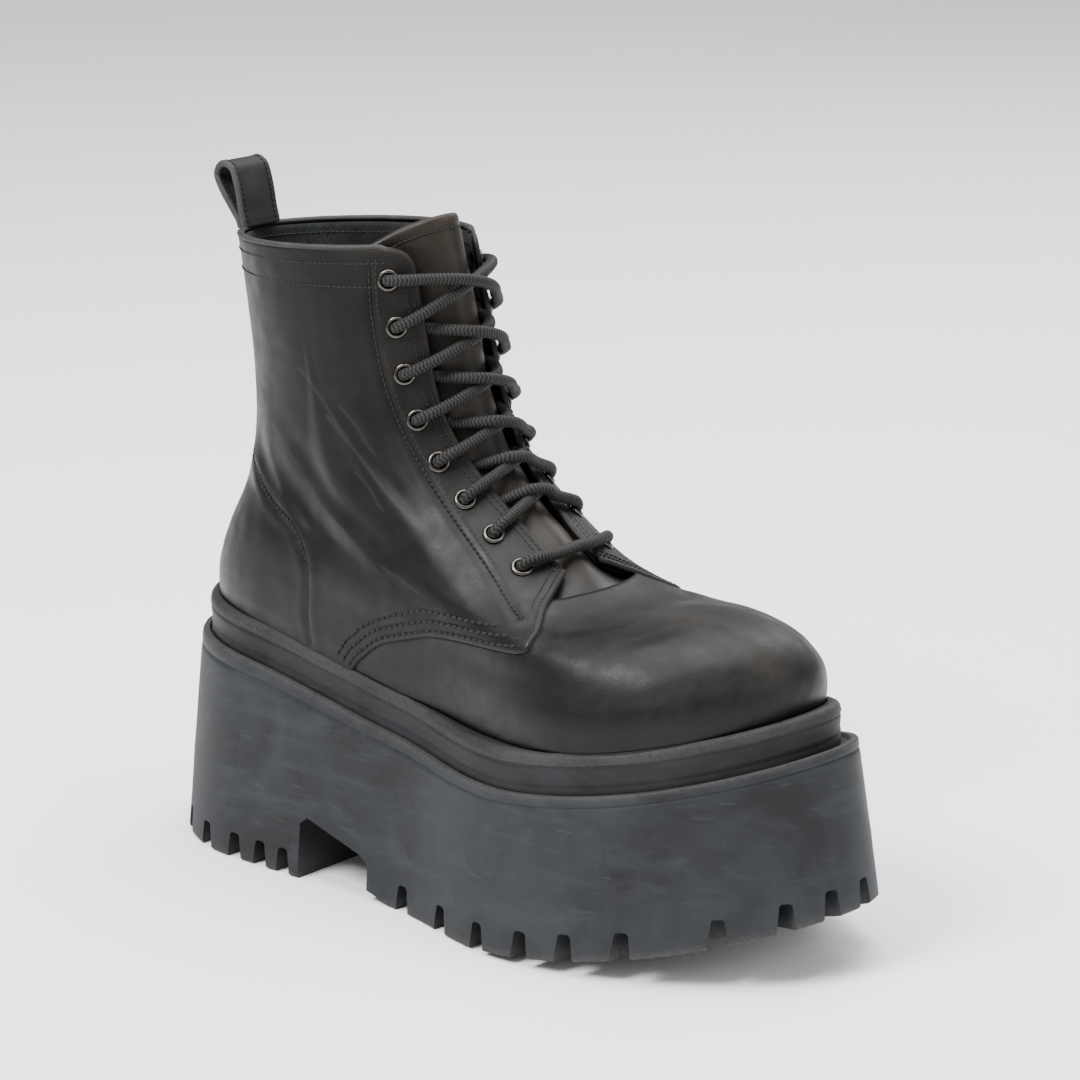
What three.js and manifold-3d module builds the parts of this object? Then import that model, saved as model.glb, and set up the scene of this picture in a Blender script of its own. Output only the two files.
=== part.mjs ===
// Platform boot for the right foot, laced, in millimetres.
// +X points to the toe, +Y to the wearer's left (the inner, medial side), +Z up.
// The origin is at the bottom centre of the whole boot's box.
import * as THREE from "three";
import { mergeVertices } from "three/addons/utils/BufferGeometryUtils.js";
import Module from "manifold-3d";

const wasm = await Module();
wasm.setup();

// Driving dimensions.
const SOLE_LENGTH = 291;
const HEEL_HEIGHT = 75.5;
const FOREFOOT_HEIGHT = 57;
const TOE_TOP_RISE = 22;
const TOE_SPRING = 23;
const SIDE_FLARE = 0.075;
const TOE_FLARE = 0.15;
const HEEL_FLARE = 0.1;
const WALL = 2.2;
const GAP = 0.35;
const WELT_HEIGHT = 14;
const INSOLE_THICKNESS = 4;
const LACE_RADIUS = 2.1;
const EYELET_PAIRS = 8;
const EYELET_SPACING = 16.2;

// Places along X.
const SOLE_BACK = -SOLE_LENGTH / 2;
const SOLE_FRONT = SOLE_LENGTH / 2;
const ARCH_LOW = 20;
const HEEL_PITCH_RUN = 135;
const TOE_TOP_RUN = 121;
const SPRING_START = 7;
const HEEL_BREAST = -60.5;
const FOREFOOT_BREAST = -28;
const ARCH_HEIGHT_BACK = 23.5;
const ARCH_HEIGHT_FRONT = 14.5;

// Roundness of the plan outline's two ends, 2 is an ellipse.
const HEEL_POWER = 1.85;
const TOE_POWER = 1.97;

// The plan outline bows outwards at the waist and swings inwards at the toe.
const OUTLINE_BOW = 5.9;
const TOE_SWING = 4;

// Y of the line that the outlines are measured from, which puts the whole boot's box on the origin.
const CENTRE_Y = 4.72;
const SWING_POWER = 6;

// Points round one ring of a loft.
const RING_POINTS = 56;

// The outline on the ground: half widths at heel, waist and ball, and the lengths of the rounded ends.
const GROUND = {
  back: SOLE_BACK,
  front: SOLE_FRONT,
  heel: 41.7,
  waist: 41.6,
  ball: 58.5,
  tail: 48,
  nose: 96,
};

// Sections of the upper's outer surface, from the sole up to the collar, one row each.
// back, front: X of the two ends. backZ, frontZ: their heights. sideZ: height of the sides, at the front.
// heel, waist, ball: half widths. tail, nose: lengths of the rounded ends.
// dip: share of the platform's dip that the section follows. sway: share of the outline's bow and swing.
const SECTION_COLUMNS = [
  "back", "backZ", "front", "frontZ", "sideZ", "heel", "waist", "ball", "tail", "nose", "dip", "sway",
];
const SECTION_ROWS = [
  [-130.4, 74.65, 122.5, 71.9, 71.9, 31.0, 31.5, 47.0, 44, 62, 1.0, 1.0],
  [-131.0, 89.5, 124.0, 87.3, 87.3, 32.0, 32.3, 48.3, 44, 62, 1.0, 1.0],
  [-130.8, 96.0, 124.0, 94.0, 92.5, 33.0, 33.0, 48.8, 44, 61, 0.9, 1.0],
  [-129.9, 102.0, 122.3, 100.0, 96.0, 33.3, 33.5, 48.3, 44, 59, 0.85, 1.0],
  [-128.0, 108.0, 118.0, 105.3, 98.0, 33.3, 34.0, 47.0, 44, 55, 0.8, 1.0],
  [-125.9, 113.0, 112.0, 109.6, 100.5, 33.0, 34.3, 45.5, 44, 50, 0.75, 1.0],
  [-123.6, 118.0, 103.0, 112.8, 102.5, 32.6, 34.8, 44.0, 44, 44, 0.7, 1.0],
  [-121.3, 122.5, 90.0, 114.6, 104.5, 32.3, 35.3, 42.5, 44, 37, 0.65, 0.9],
  [-119.2, 127.0, 73.5, 113.6, 106.0, 32.0, 35.8, 41.0, 44, 32, 0.6, 0.72],
  [-117.4, 131.5, 57.5, 112.0, 107.5, 32.0, 36.2, 39.5, 44, 31, 0.5, 0.5],
  [-116.2, 136.0, 38.5, 118.3, 112.5, 32.0, 36.5, 38.0, 44, 33, 0.3, 0.25],
  [-114.7, 144.0, 19.5, 130.5, 126.0, 32.0, 36.0, 36.0, 44, 37, 0.1, 0.0],
  [-113.7, 154.0, 2.2, 145.5, 142.5, 32.3, 35.0, 34.5, 45, 41, 0.0, -0.15],
  [-113.3, 166.0, -8.8, 161.0, 159.8, 33.0, 34.2, 34.0, 46, 44, 0.0, -0.25],
  [-114.2, 181.0, -15.3, 179.0, 179.0, 33.6, 34.0, 33.8, 47, 46, 0.0, -0.3],
  [-116.8, 199.0, -20.0, 200.0, 200.0, 34.0, 34.0, 34.0, 47, 46, 0.0, -0.3],
  [-120.8, 220.5, -26.0, 226.8, 226.8, 34.2, 34.2, 34.2, 49, 46, 0.0, -0.3],
];
const SECTIONS = SECTION_ROWS.map((row) => {
  return Object.fromEntries(row.map((value, i) => [SECTION_COLUMNS[i], value]));
});
const COLLAR = SECTIONS.length - 1;
const FEATHER = 1;
const CREST_POWER = 1.5;
const SURFACE_STEP = 0.02;
const THROAT = 9.3;

// Half width of the throat between the two facings, low and high.
// It opens from the low to the high value between two height numbers.
// Below, it narrows to nothing over a short run where the facings' lobes meet the vamp.
const THROAT_LOW = 9.5;
const THROAT_HIGH = 16.8;
const THROAT_OPENS = { from: 10.9, to: 14 };
const THROAT_RUN = 1.05;
const THROAT_POWER = 0.8;
const THROAT_TIP = 0.02;
const FACING_CORNER = 8;
const EYELET_FROM_EDGE = { low: 13.6, high: 10.2 };
const CORNER_RUN = 0.3;
const COLLAR_STEP = 0.2;
const CORNER_STEPS = 4;
const THROAT_STEP = 0.5;
const CUTTER_OUT = 20;
const CUTTER_IN = 16;
// The cutter points along the surface's normal low down. It turns straight ahead between these heights.
const CUTTER_LEVEL = { from: 10.5, to: 12.5 };
const AHEAD = new THREE.Vector3(1, 0, 0);

// Tongue: its start, its top edge above the collar, and its half turn round the front.
const TONGUE_START = 8.9;
const TONGUE_CREST_RISE = 0.32;
const TONGUE_SIDE_RISE = -0.1;
const TONGUE_TURN = 1.08;
const TONGUE_THICKNESS = 2.4;
const TONGUE_CREST_DEPTH = 0.6;
const TONGUE_SIDE_GAP = 4.8;
const TONGUE_ROOT_DEPTH = 0.8;
const TONGUE_EMERGES = { from: 0.15, to: 1.3 };
const TONGUE_LEAN = 0.5;
const TONGUE_LEAN_START = 15;
const TONGUE_FLAT = 0.62;
const TONGUE_ROWS = 13;
const TONGUE_COLUMNS = 10;

// Eyelets: sides of their round parts, and the bore, shank, flange and crest radii.
const EYELET_SIDES = 8;
const EYELET_BORE = 2.35;
const EYELET_SHANK = 2.8;
const EYELET_FLANGE = 3.75;
const EYELET_CREST = 3.2;
const EYELET_LIFT = 0.7;
const EYELET_TOP = 1.6;
const EYELET_FOOT = 0.2 - WALL;
const EYELET_EDGE = 0.1;
const HOLE_RADIUS = 3.4;
const HOLE_LENGTH = 8;
const TOP_EYELET_LEVEL = 15.57;
const LEVEL_STEP = 0.005;
const TURN_LIMIT = 1.4;
const TURN_STEP = 0.0005;
const UP = new THREE.Vector3(0, 1, 0);

// Laces: heights of the cord's middle line over the upper's surface, the turn between
// a tucked leg's end and the facing's edge, and the height numbers that a crossing bows upwards.
const LACE_SIDES = 8;
const LACE_STEPS = 8;
const LACE_EYELET_HEIGHT = 4.5;
const LACE_EDGE_HEIGHT = 2.7;
const LACE_UNDER_HEIGHT = 1.95;
const LACE_OVER_HEIGHT = 5.8;
const LACE_TUCK_HEIGHT = -2.6;
const LACE_TUCK_SPACE = 0.09;
const LACE_BOW = 0.2;

// Pull loop: the strap's section.
const LOOP_WIDTH = 19;
const LOOP_THICKNESS = 2;
const LOOP_STEPS = 24;

const leather = { color: 0x2b2a29, roughness: 0.5, metalness: 0 };
const rubber = { color: 0x4b4d50, roughness: 0.75, metalness: 0 };
const lining = { color: 0x2a2f2d, roughness: 0.95, metalness: 0 };
const cord = { color: 0x1c1b1a, roughness: 0.8, metalness: 0 };
const metal = { color: 0x34322f, roughness: 0.3, metalness: 0.9 };

const { lerp, clamp, smoothstep } = THREE.MathUtils;

// Height of the platform's top edge and of its underside, at a place along the boot.
function platformTop(x) {
  const heelPart = (HEEL_HEIGHT - FOREFOOT_HEIGHT) * smoothstep(ARCH_LOW - x, 0, HEEL_PITCH_RUN);
  const toePart = TOE_TOP_RISE * (Math.max(x - ARCH_LOW, 0) / TOE_TOP_RUN) ** 2;
  return FOREFOOT_HEIGHT + heelPart + toePart;
}

function platformBottom(x) {
  return TOE_SPRING * (Math.max(x - SPRING_START, 0) / (SOLE_FRONT - SPRING_START)) ** 2;
}

// The curved middle line that every plan outline is measured from.
function middleLine(x, sway) {
  const along = (x - SOLE_BACK) / SOLE_LENGTH;
  return CENTRE_Y + sway * (TOE_SWING * along ** SWING_POWER - OUTLINE_BOW * Math.sin(Math.PI * along));
}

function roundedEnd(share, power) {
  return (1 - clamp(share, 0, 1) ** power) ** (1 / power);
}

// Half width of a section at a place along it.
function halfWidth(section, x) {
  const tailEnd = section.back + section.tail;
  const noseStart = section.front - section.nose;
  if (x < tailEnd) return section.heel * roundedEnd((tailEnd - x) / section.tail, HEEL_POWER);
  if (x > noseStart) return section.ball * roundedEnd((x - noseStart) / section.nose, TOE_POWER);
  const along = (x - tailEnd) / (noseStart - tailEnd);
  if (along < 0.5) return lerp(section.heel, section.waist, smoothstep(along, 0, 0.5));
  return lerp(section.waist, section.ball, smoothstep(along, 0.5, 1));
}

// A point of a plan outline. The angle runs from the back over the lateral side to the front and home.
function outlinePoint(section, angle, sway) {
  const x = (section.back + section.front) / 2 - (Math.cos(angle) * (section.front - section.back)) / 2;
  const side = Math.sin(angle) > 0 ? -1 : 1;
  return { x, y: middleLine(x, sway) + side * halfWidth(section, x) };
}

function ringAngles() {
  return Array.from({ length: RING_POINTS }, (_, i) => (2 * Math.PI * i) / RING_POINTS);
}

// An outline moved inwards by a distance, with its own inset for the front end.
function inset(section, distance, frontDistance = distance) {
  return {
    back: section.back + distance,
    front: section.front - frontDistance,
    heel: section.heel - distance,
    waist: section.waist - distance,
    ball: section.ball - distance,
    tail: section.tail - distance / 2,
    nose: section.nose - frontDistance,
  };
}

// The upper's section at a height number between two rows of the table.
function sectionAt(level) {
  const row = clamp(Math.floor(level), 0, COLLAR - 1);
  const share = level - row;
  const rows = [row - 1, row, row + 1, row + 2].map((i) => SECTIONS[clamp(i, 0, COLLAR)]);
  const section = {};
  for (const name of Object.keys(SECTIONS[0])) {
    const [before, from, to, after] = rows.map((r) => r[name]);
    const leave = row === 0 ? to - from : (to - before) / 2;
    const arrive = row === COLLAR - 1 ? to - from : (after - from) / 2;
    const s2 = share * share;
    const s3 = s2 * share;
    const ends = (2 * s3 - 3 * s2 + 1) * from + (3 * s2 - 2 * s3) * to;
    section[name] = ends + (s3 - 2 * s2 + share) * leave + (s3 - s2) * arrive;
  }
  return section;
}

// A point of the upper's outer surface.
function upperPoint(level, angle) {
  const section = sectionAt(level);
  const { x, y } = outlinePoint(section, angle, section.sway);
  const along = (x - section.back) / (section.front - section.back);
  const chord = lerp(platformTop(section.back), platformTop(section.front), along);
  const dip = section.dip * (platformTop(x) - chord);
  const crest = clamp((x - section.front + section.nose) / section.nose, 0, 1) ** CREST_POWER;
  const z = lerp(section.backZ, section.sideZ, along) + dip + (section.frontZ - section.sideZ) * crest;
  return new THREE.Vector3(x, y, z);
}

// The outward direction of the upper's surface.
function upperNormal(level, angle) {
  const low = Math.max(level - SURFACE_STEP, 0);
  const high = Math.min(level + SURFACE_STEP, COLLAR);
  const up = upperPoint(high, angle).sub(upperPoint(low, angle));
  const round = upperPoint(level, angle + SURFACE_STEP).sub(upperPoint(level, angle - SURFACE_STEP));
  return round.cross(up).normalize();
}

// The same surface carried on in a straight line above the collar.
function upperBeyond(level, angle) {
  if (level <= COLLAR) return upperPoint(level, angle);
  const rim = upperPoint(COLLAR, angle);
  const below = upperPoint(COLLAR - COLLAR_STEP, angle);
  return rim.clone().addScaledVector(rim.clone().sub(below), (level - COLLAR) / COLLAR_STEP);
}

function upperInside(level, angle, depth) {
  return upperPoint(level, angle).addScaledVector(upperNormal(level, angle), -depth);
}

// A loft through rings that run anticlockwise from above, bottom ring first.
// A wrapped loft joins its last ring to its first. Otherwise each end is closed by rungs across it.
function loft(rings, wrapped) {
  const count = rings[0].length;
  const position = rings.flat().flatMap((p) => [p.x, p.y, p.z]);
  const index = [];
  const bands = wrapped ? rings.length : rings.length - 1;
  for (let band = 0; band < bands; band++) {
    const low = band * count;
    const high = ((band + 1) % rings.length) * count;
    for (let i = 0; i < count; i++) {
      const next = (i + 1) % count;
      index.push(low + i, low + next, high + next, low + i, high + next, high + i);
    }
  }
  if (!wrapped) {
    const top = (rings.length - 1) * count;
    for (let i = 0; i < count / 2; i++) {
      const far = (count - i) % count;
      const farNext = count - i - 1;
      if (i > 0) {
        index.push(i, far, i + 1);
        index.push(top + i, top + i + 1, top + far);
      }
      if (i < count / 2 - 1) {
        index.push(far, farNext, i + 1);
        index.push(top + far, top + i + 1, top + farNext);
      }
    }
  }
  const geometry = new THREE.BufferGeometry();
  geometry.setAttribute("position", new THREE.Float32BufferAttribute(position, 3));
  geometry.setIndex(index);
  return geometry;
}

// Booleans on closed meshes.
const WELD_DISTANCE = 1e-4;

function solidOf(geometry) {
  const bare = geometry.clone();
  bare.deleteAttribute("normal");
  bare.deleteAttribute("uv");
  const merged = mergeVertices(bare, WELD_DISTANCE);
  const mesh = new wasm.Mesh({
    numProp: 3,
    vertProperties: new Float32Array(merged.attributes.position.array),
    triVerts: new Uint32Array(merged.index.array),
  });
  return new wasm.Manifold(mesh);
}

function geometryOf(solid) {
  const mesh = solid.getMesh();
  const geometry = new THREE.BufferGeometry();
  geometry.setAttribute("position", new THREE.BufferAttribute(new Float32Array(mesh.vertProperties), 3));
  geometry.setIndex(new THREE.BufferAttribute(new Uint32Array(mesh.triVerts), 1));
  return geometry;
}

function subtractAll(geometry, cutters) {
  let solid = solidOf(geometry);
  for (const cutter of cutters) solid = solid.subtract(solidOf(cutter));
  return geometryOf(solid);
}

function joinAll(geometries) {
  const [first, ...others] = geometries.map(solidOf);
  return geometryOf(others.reduce((whole, piece) => whole.add(piece), first));
}

const boot = new THREE.Group();

function addPiece(name, geometry, finish) {
  geometry.computeVertexNormals();
  const mesh = new THREE.Mesh(geometry, new THREE.MeshStandardMaterial(finish));
  mesh.name = name;
  boot.add(mesh);
  return mesh;
}

// Outsole: one moulded block with flared sides, a heel, an arch gap and lugs round its edge.
const TOP_EDGE = inset(GROUND, SIDE_FLARE * FOREFOOT_HEIGHT, TOE_FLARE * FOREFOOT_HEIGHT);
TOP_EDGE.back = SOLE_BACK + HEEL_FLARE * HEEL_HEIGHT;
const LIP_WIDTH = 2.2;
const LIP_SLOPE = 0.6;
const LIP_DROP = 1.2;

function soleRing(outline, heightAt) {
  return ringAngles().map((angle) => {
    const { x, y } = outlinePoint(outline, angle, 1);
    return new THREE.Vector3(x, y, heightAt(x));
  });
}

// A straight-sided cutter: a side-view polygon of x and z, as wide as asked along Y.
function sideCutter(corners, width) {
  const shape = new THREE.Shape(corners.map(([x, z]) => new THREE.Vector2(x, z)));
  const geometry = new THREE.ExtrudeGeometry(shape, { depth: width, bevelEnabled: false });
  geometry.rotateX(Math.PI / 2);
  geometry.translate(0, width / 2, 0);
  return geometry;
}

const LUG_DEPTH = 9.5;
const LUG_REACH = 15;
const NOTCH_FOOT = 6.6;
const NOTCH_ROOF = 4.6;
const NOTCH_SPREAD = 0.5;
const NOTCH_CLEAR = 4;

// X of each notch between lugs. The same notches are cut on both sides.
const HEEL_NOTCHES = [-110, -93.5, -80.5, -69];
const FOREFOOT_NOTCHES = [-10, 13, 34.5, 54, 71, 90.5];
// Angles of the notches round the two ends, from the boot's long line.
const TOE_NOTCH_ANGLES = [-54, -26, -7, 10, 29, 54];
const TOE_CENTRE = 92;
const BACK_NOTCH_ANGLES = [-52, -18, 18, 52];
const BACK_CENTRE = -104;

// A notch is a wedge with a narrower roof, laid inwards from the sole's edge.
function notchCutter(edge, heading) {
  const shape = new THREE.Shape([
    new THREE.Vector2(-NOTCH_FOOT / 2 - NOTCH_SPREAD, -NOTCH_CLEAR),
    new THREE.Vector2(NOTCH_FOOT / 2 + NOTCH_SPREAD, -NOTCH_CLEAR),
    new THREE.Vector2(NOTCH_ROOF / 2, LUG_DEPTH),
    new THREE.Vector2(-NOTCH_ROOF / 2, LUG_DEPTH),
  ]);
  const reach = LUG_REACH + NOTCH_CLEAR;
  const geometry = new THREE.ExtrudeGeometry(shape, { depth: reach, bevelEnabled: false });
  geometry.rotateX(Math.PI / 2);
  geometry.translate(0, NOTCH_CLEAR, 0);
  geometry.rotateZ(heading + Math.PI / 2);
  geometry.translate(edge.x, edge.y, platformBottom(edge.x));
  return geometry;
}

// The arch gap's cutter: its width and reach below, the breast's lean, and the forefoot's sloped rear edge.
const ARCH_WIDTH = 200;
const ARCH_BELOW = 5;
const BREAST_LEAN = 1;
const FOREFOOT_EDGE = { rise: 3.5, run: 13 };

// Halving steps of the search for the ground outline's edge.
const REACH_LIMIT = 64;
const REACH_STEP = 0.01;

// Where a ray from a centre on the middle line leaves the ground outline.
function edgeFrom(centreX, angle) {
  const centre = { x: centreX, y: middleLine(centreX, 1) };
  let reach = 0;
  for (let step = REACH_LIMIT; step > REACH_STEP; step /= 2) {
    const x = centre.x + Math.cos(angle) * (reach + step);
    const y = centre.y + Math.sin(angle) * (reach + step);
    const within = x > GROUND.back && x < GROUND.front;
    if (within && Math.abs(y - middleLine(x, 1)) < halfWidth(GROUND, x)) reach += step;
  }
  return { x: centre.x + Math.cos(angle) * reach, y: centre.y + Math.sin(angle) * reach };
}

function makeOutsole() {
  const rings = [
    soleRing(GROUND, (x) => platformBottom(x)),
    soleRing(TOP_EDGE, (x) => platformTop(x)),
    soleRing(inset(TOP_EDGE, LIP_WIDTH), (x) => platformTop(x)),
    soleRing(inset(TOP_EDGE, LIP_WIDTH + LIP_SLOPE), (x) => platformTop(x) - LIP_DROP),
  ];
  const arch = sideCutter(
    [
      [HEEL_BREAST - BREAST_LEAN, -ARCH_BELOW],
      [HEEL_BREAST, ARCH_HEIGHT_BACK],
      [FOREFOOT_BREAST, ARCH_HEIGHT_FRONT],
      [FOREFOOT_BREAST, FOREFOOT_EDGE.rise],
      [FOREFOOT_BREAST + FOREFOOT_EDGE.run, 0],
      [FOREFOOT_BREAST + FOREFOOT_EDGE.run, -ARCH_BELOW],
    ],
    ARCH_WIDTH,
  );
  const cutters = [arch];
  for (const x of [...HEEL_NOTCHES, ...FOREFOOT_NOTCHES]) {
    const half = halfWidth(GROUND, x);
    cutters.push(notchCutter({ x, y: middleLine(x, 1) - half }, -Math.PI / 2));
    cutters.push(notchCutter({ x, y: middleLine(x, 1) + half }, Math.PI / 2));
  }
  for (const degrees of TOE_NOTCH_ANGLES) {
    const angle = THREE.MathUtils.degToRad(degrees);
    cutters.push(notchCutter(edgeFrom(TOE_CENTRE, angle), angle));
  }
  for (const degrees of BACK_NOTCH_ANGLES) {
    const angle = Math.PI - THREE.MathUtils.degToRad(degrees);
    cutters.push(notchCutter(edgeFrom(BACK_CENTRE, angle), angle));
  }
  return subtractAll(loft(rings, false), cutters);
}
addPiece("outsole", makeOutsole(), rubber);

// The platform's recessed top carries the welt, the upper's lower edge and the insole.
function seatHeight(x) {
  return platformTop(x) - LIP_DROP + GAP;
}

// Welt: a rubber band that stands on the platform's top and hugs the upper's lower edge.
// Each row of its outer side is set in from the platform's top edge, at the sides and at the toe, at a rise.
const WELT_ROWS = [
  { side: 3.3, toe: 6.2, rise: 0 },
  { side: 3.2, toe: 6.6, rise: WELT_HEIGHT * 0.6 },
  { side: 4.6, toe: 8.4, rise: WELT_HEIGHT },
];
const WELT_INNER_DROP = 0.8;

function makeWelt() {
  const outer = WELT_ROWS.map(({ side, toe, rise }) =>
    ringAngles().map((angle) => {
      const { x, y } = outlinePoint(inset(TOP_EDGE, side, toe), angle, 1);
      return new THREE.Vector3(x, y, rise === 0 ? seatHeight(x) : platformTop(x) + rise);
    }),
  );
  const inner = [FEATHER, 0].map((level) =>
    ringAngles().map((angle) => {
      const point = upperInside(level, angle, -GAP);
      const top = platformTop(point.x) + WELT_HEIGHT - WELT_INNER_DROP;
      point.z = level === FEATHER ? top : seatHeight(point.x);
      return point;
    }),
  );
  return loft([...outer, ...inner], true);
}
addPiece("welt", makeWelt(), rubber);

// Insole: a board and sock that fill the upper's floor.
function makeInsole() {
  const rings = [0, INSOLE_THICKNESS].map((rise) =>
    ringAngles().map((angle) => {
      const point = upperInside(0, angle, WALL + GAP);
      point.z = seatHeight(point.x) + rise;
      return point;
    }),
  );
  return loft(rings, false);
}
addPiece("insole", makeInsole(), lining);

// Upper: outer and inner skins through the same sections, joined at the collar and at the lower edge.
function upperShell() {
  const skins = [];
  for (let level = 0; level <= COLLAR; level++) {
    skins.push(ringAngles().map((angle) => upperPoint(level, angle)));
  }
  for (let level = COLLAR; level >= 0; level--) {
    skins.push(ringAngles().map((angle) => upperInside(level, angle, WALL)));
  }
  for (const point of [...skins[0], ...skins.at(-1)]) point.z = seatHeight(point.x);
  return loft(skins, true);
}

// Half width of the throat at a height number.
function throatHalf(level) {
  const facing = lerp(THROAT_LOW, THROAT_HIGH, smoothstep(level, THROAT_OPENS.from, THROAT_OPENS.to));
  const narrowing = clamp((level - THROAT) / THROAT_RUN, THROAT_TIP, 1) ** THROAT_POWER;
  const corner = clamp((level - COLLAR + CORNER_RUN) / CORNER_RUN, 0, 1);
  return facing * narrowing + FACING_CORNER * (1 - Math.sqrt(1 - corner * corner));
}

// The space between the facings, as a band that follows the front line out through the collar.
function throatCutter() {
  const levels = [THROAT];
  for (let level = THROAT + THROAT_STEP / 2; level < COLLAR - CORNER_RUN; level += THROAT_STEP) {
    levels.push(level);
  }
  for (let step = 0; step <= CORNER_STEPS; step++) {
    levels.push(COLLAR - CORNER_RUN * Math.cos((step / CORNER_STEPS) * (Math.PI / 2)));
  }
  levels.push(COLLAR + CORNER_RUN);
  const rings = levels.map((level) => {
    const front = upperBeyond(level, Math.PI);
    const reached = Math.min(level, COLLAR);
    const turned = smoothstep(level, CUTTER_LEVEL.from, CUTTER_LEVEL.to);
    const out = upperNormal(reached, Math.PI).lerp(AHEAD, turned);
    const half = throatHalf(reached);
    const near = front.clone().addScaledVector(out, CUTTER_OUT);
    const deep = front.clone().addScaledVector(out, -CUTTER_IN);
    return [
      new THREE.Vector3(near.x, front.y - half, near.z),
      new THREE.Vector3(near.x, front.y + half, near.z),
      new THREE.Vector3(deep.x, front.y + half, deep.z),
      new THREE.Vector3(deep.x, front.y - half, deep.z),
    ];
  });
  return loft(rings, false);
}

// Angle of a ring's point at a turn round its nose, 0 at the front, negative on the lateral side.
function noseAngle(level, turn) {
  const section = sectionAt(Math.min(level, COLLAR));
  const length = section.front - section.back;
  const swing = Math.acos(1 - (2 * section.nose * (1 - Math.cos(turn))) / length);
  return Math.PI + Math.sign(turn) * swing;
}

// A point under the upper's outer surface near the front line, also above the collar.
function frontPoint(level, turn, depth) {
  const angle = noseAngle(level, turn);
  const normal = upperNormal(Math.min(level, COLLAR), angle);
  return upperBeyond(level, angle).addScaledVector(normal, -depth);
}

// The turn round the nose, from the front line, at which the outer surface has passed a test.
function turnUntil(passed) {
  let turn = 0;
  for (let step = TURN_LIMIT / 2; step > TURN_STEP; step /= 2) {
    if (!passed(turn + step)) turn += step;
  }
  return turn;
}

// The turns of the facing's edge and of the eyelets' middle line beside it.
function edgeTurn(level) {
  const frontY = upperPoint(level, Math.PI).y;
  return turnUntil((turn) => frontPoint(level, turn, 0).y - frontY > throatHalf(level));
}

function eyeletTurn(level) {
  const edge = frontPoint(level, edgeTurn(level), 0);
  const { low, high } = EYELET_FROM_EDGE;
  const wanted = lerp(low, high, smoothstep(level, THROAT_OPENS.from, THROAT_OPENS.to));
  const fromEdge = (turn) => Math.sign(turn - edgeTurn(level)) * frontPoint(level, turn, 0).distanceTo(edge);
  return turnUntil((turn) => fromEdge(turn) > wanted);
}

// Height numbers of the eyelet pairs, the top pair first, at equal distances down the facing.
function eyeletLevels() {
  const levels = [TOP_EYELET_LEVEL];
  while (levels.length < EYELET_PAIRS) {
    const above = levels.at(-1);
    const from = frontPoint(above, -eyeletTurn(above), 0);
    let level = above;
    while (frontPoint(level, -eyeletTurn(level), 0).distanceTo(from) < EYELET_SPACING) level -= LEVEL_STEP;
    levels.push(level);
  }
  return levels;
}
const EYELET_LEVELS = eyeletLevels();

// The place and outward direction of an eyelet. Side is -1 on the lateral facing and 1 on the medial one.
function eyeletSeat(level, side) {
  const angle = noseAngle(level, side * eyeletTurn(level));
  const normal = upperNormal(level, angle);
  return { position: upperPoint(level, angle), turn: new THREE.Quaternion().setFromUnitVectors(UP, normal) };
}

function eyeletHole({ position, turn }) {
  const geometry = new THREE.CylinderGeometry(HOLE_RADIUS, HOLE_RADIUS, HOLE_LENGTH, EYELET_SIDES);
  geometry.applyQuaternion(turn);
  geometry.translate(position.x, position.y, position.z);
  return geometry;
}

addPiece(
  "upper",
  subtractAll(upperShell(), [
    throatCutter(),
    ...EYELET_LEVELS.flatMap((level) => [-1, 1].map((side) => eyeletHole(eyeletSeat(level, side)))),
  ]),
  leather,
);

// Tongue: one leather sheet that starts under the vamp, fills the throat and ends above the collar.
function tongueDepth(level, turn) {
  const rise = smoothstep(level, THROAT + TONGUE_EMERGES.from, THROAT + TONGUE_EMERGES.to);
  const crest = lerp(WALL + TONGUE_ROOT_DEPTH, TONGUE_CREST_DEPTH, rise);
  const side = lerp(WALL + TONGUE_ROOT_DEPTH, WALL + TONGUE_SIDE_GAP, rise);
  const lean = TONGUE_LEAN * clamp((level - TONGUE_LEAN_START) / (COLLAR - TONGUE_LEAN_START), 0, 2) ** 2;
  return lerp(crest, side, smoothstep(Math.abs(turn), 0, TONGUE_TURN * TONGUE_FLAT)) + lean;
}

function makeTongue() {
  const rings = [];
  for (let row = 0; row <= TONGUE_ROWS; row++) {
    const outer = [];
    const inner = [];
    for (let column = 0; column <= TONGUE_COLUMNS; column++) {
      const across = (2 * column) / TONGUE_COLUMNS - 1;
      const turn = across * TONGUE_TURN;
      const top = COLLAR + lerp(TONGUE_CREST_RISE, TONGUE_SIDE_RISE, across * across);
      const level = lerp(TONGUE_START, top, row / TONGUE_ROWS);
      const depth = tongueDepth(level, turn);
      outer.push(frontPoint(level, turn, depth));
      inner.push(frontPoint(level, turn, depth + TONGUE_THICKNESS));
    }
    rings.push([...outer, ...inner.reverse()]);
  }
  return loft(rings, false);
}
addPiece("tongue", makeTongue(), leather);

// Eyelets: a short tube through each hole with a rolled flange outside, drawn as radius and height.
const EYELET_PROFILE = [
  [EYELET_BORE, EYELET_FOOT],
  [EYELET_SHANK, EYELET_FOOT],
  [EYELET_SHANK, EYELET_LIFT],
  [EYELET_FLANGE, EYELET_LIFT],
  [EYELET_CREST, EYELET_TOP],
  [EYELET_BORE, EYELET_TOP - EYELET_EDGE],
];

function addEyelets() {
  const profile = [...EYELET_PROFILE, EYELET_PROFILE[0]];
  const points = profile.map(([radius, height]) => new THREE.Vector2(radius, height));
  EYELET_LEVELS.forEach((level, i) => {
    for (const side of [-1, 1]) {
      const { position, turn } = eyeletSeat(level, side);
      const ring = geometryOf(solidOf(new THREE.LatheGeometry(points, EYELET_SIDES)));
      const eyelet = addPiece(`eyelet_${side < 0 ? "lateral" : "medial"}_${i + 1}`, ring, metal);
      eyelet.position.copy(position);
      eyelet.quaternion.copy(turn);
    }
  });
}
addEyelets();

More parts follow.
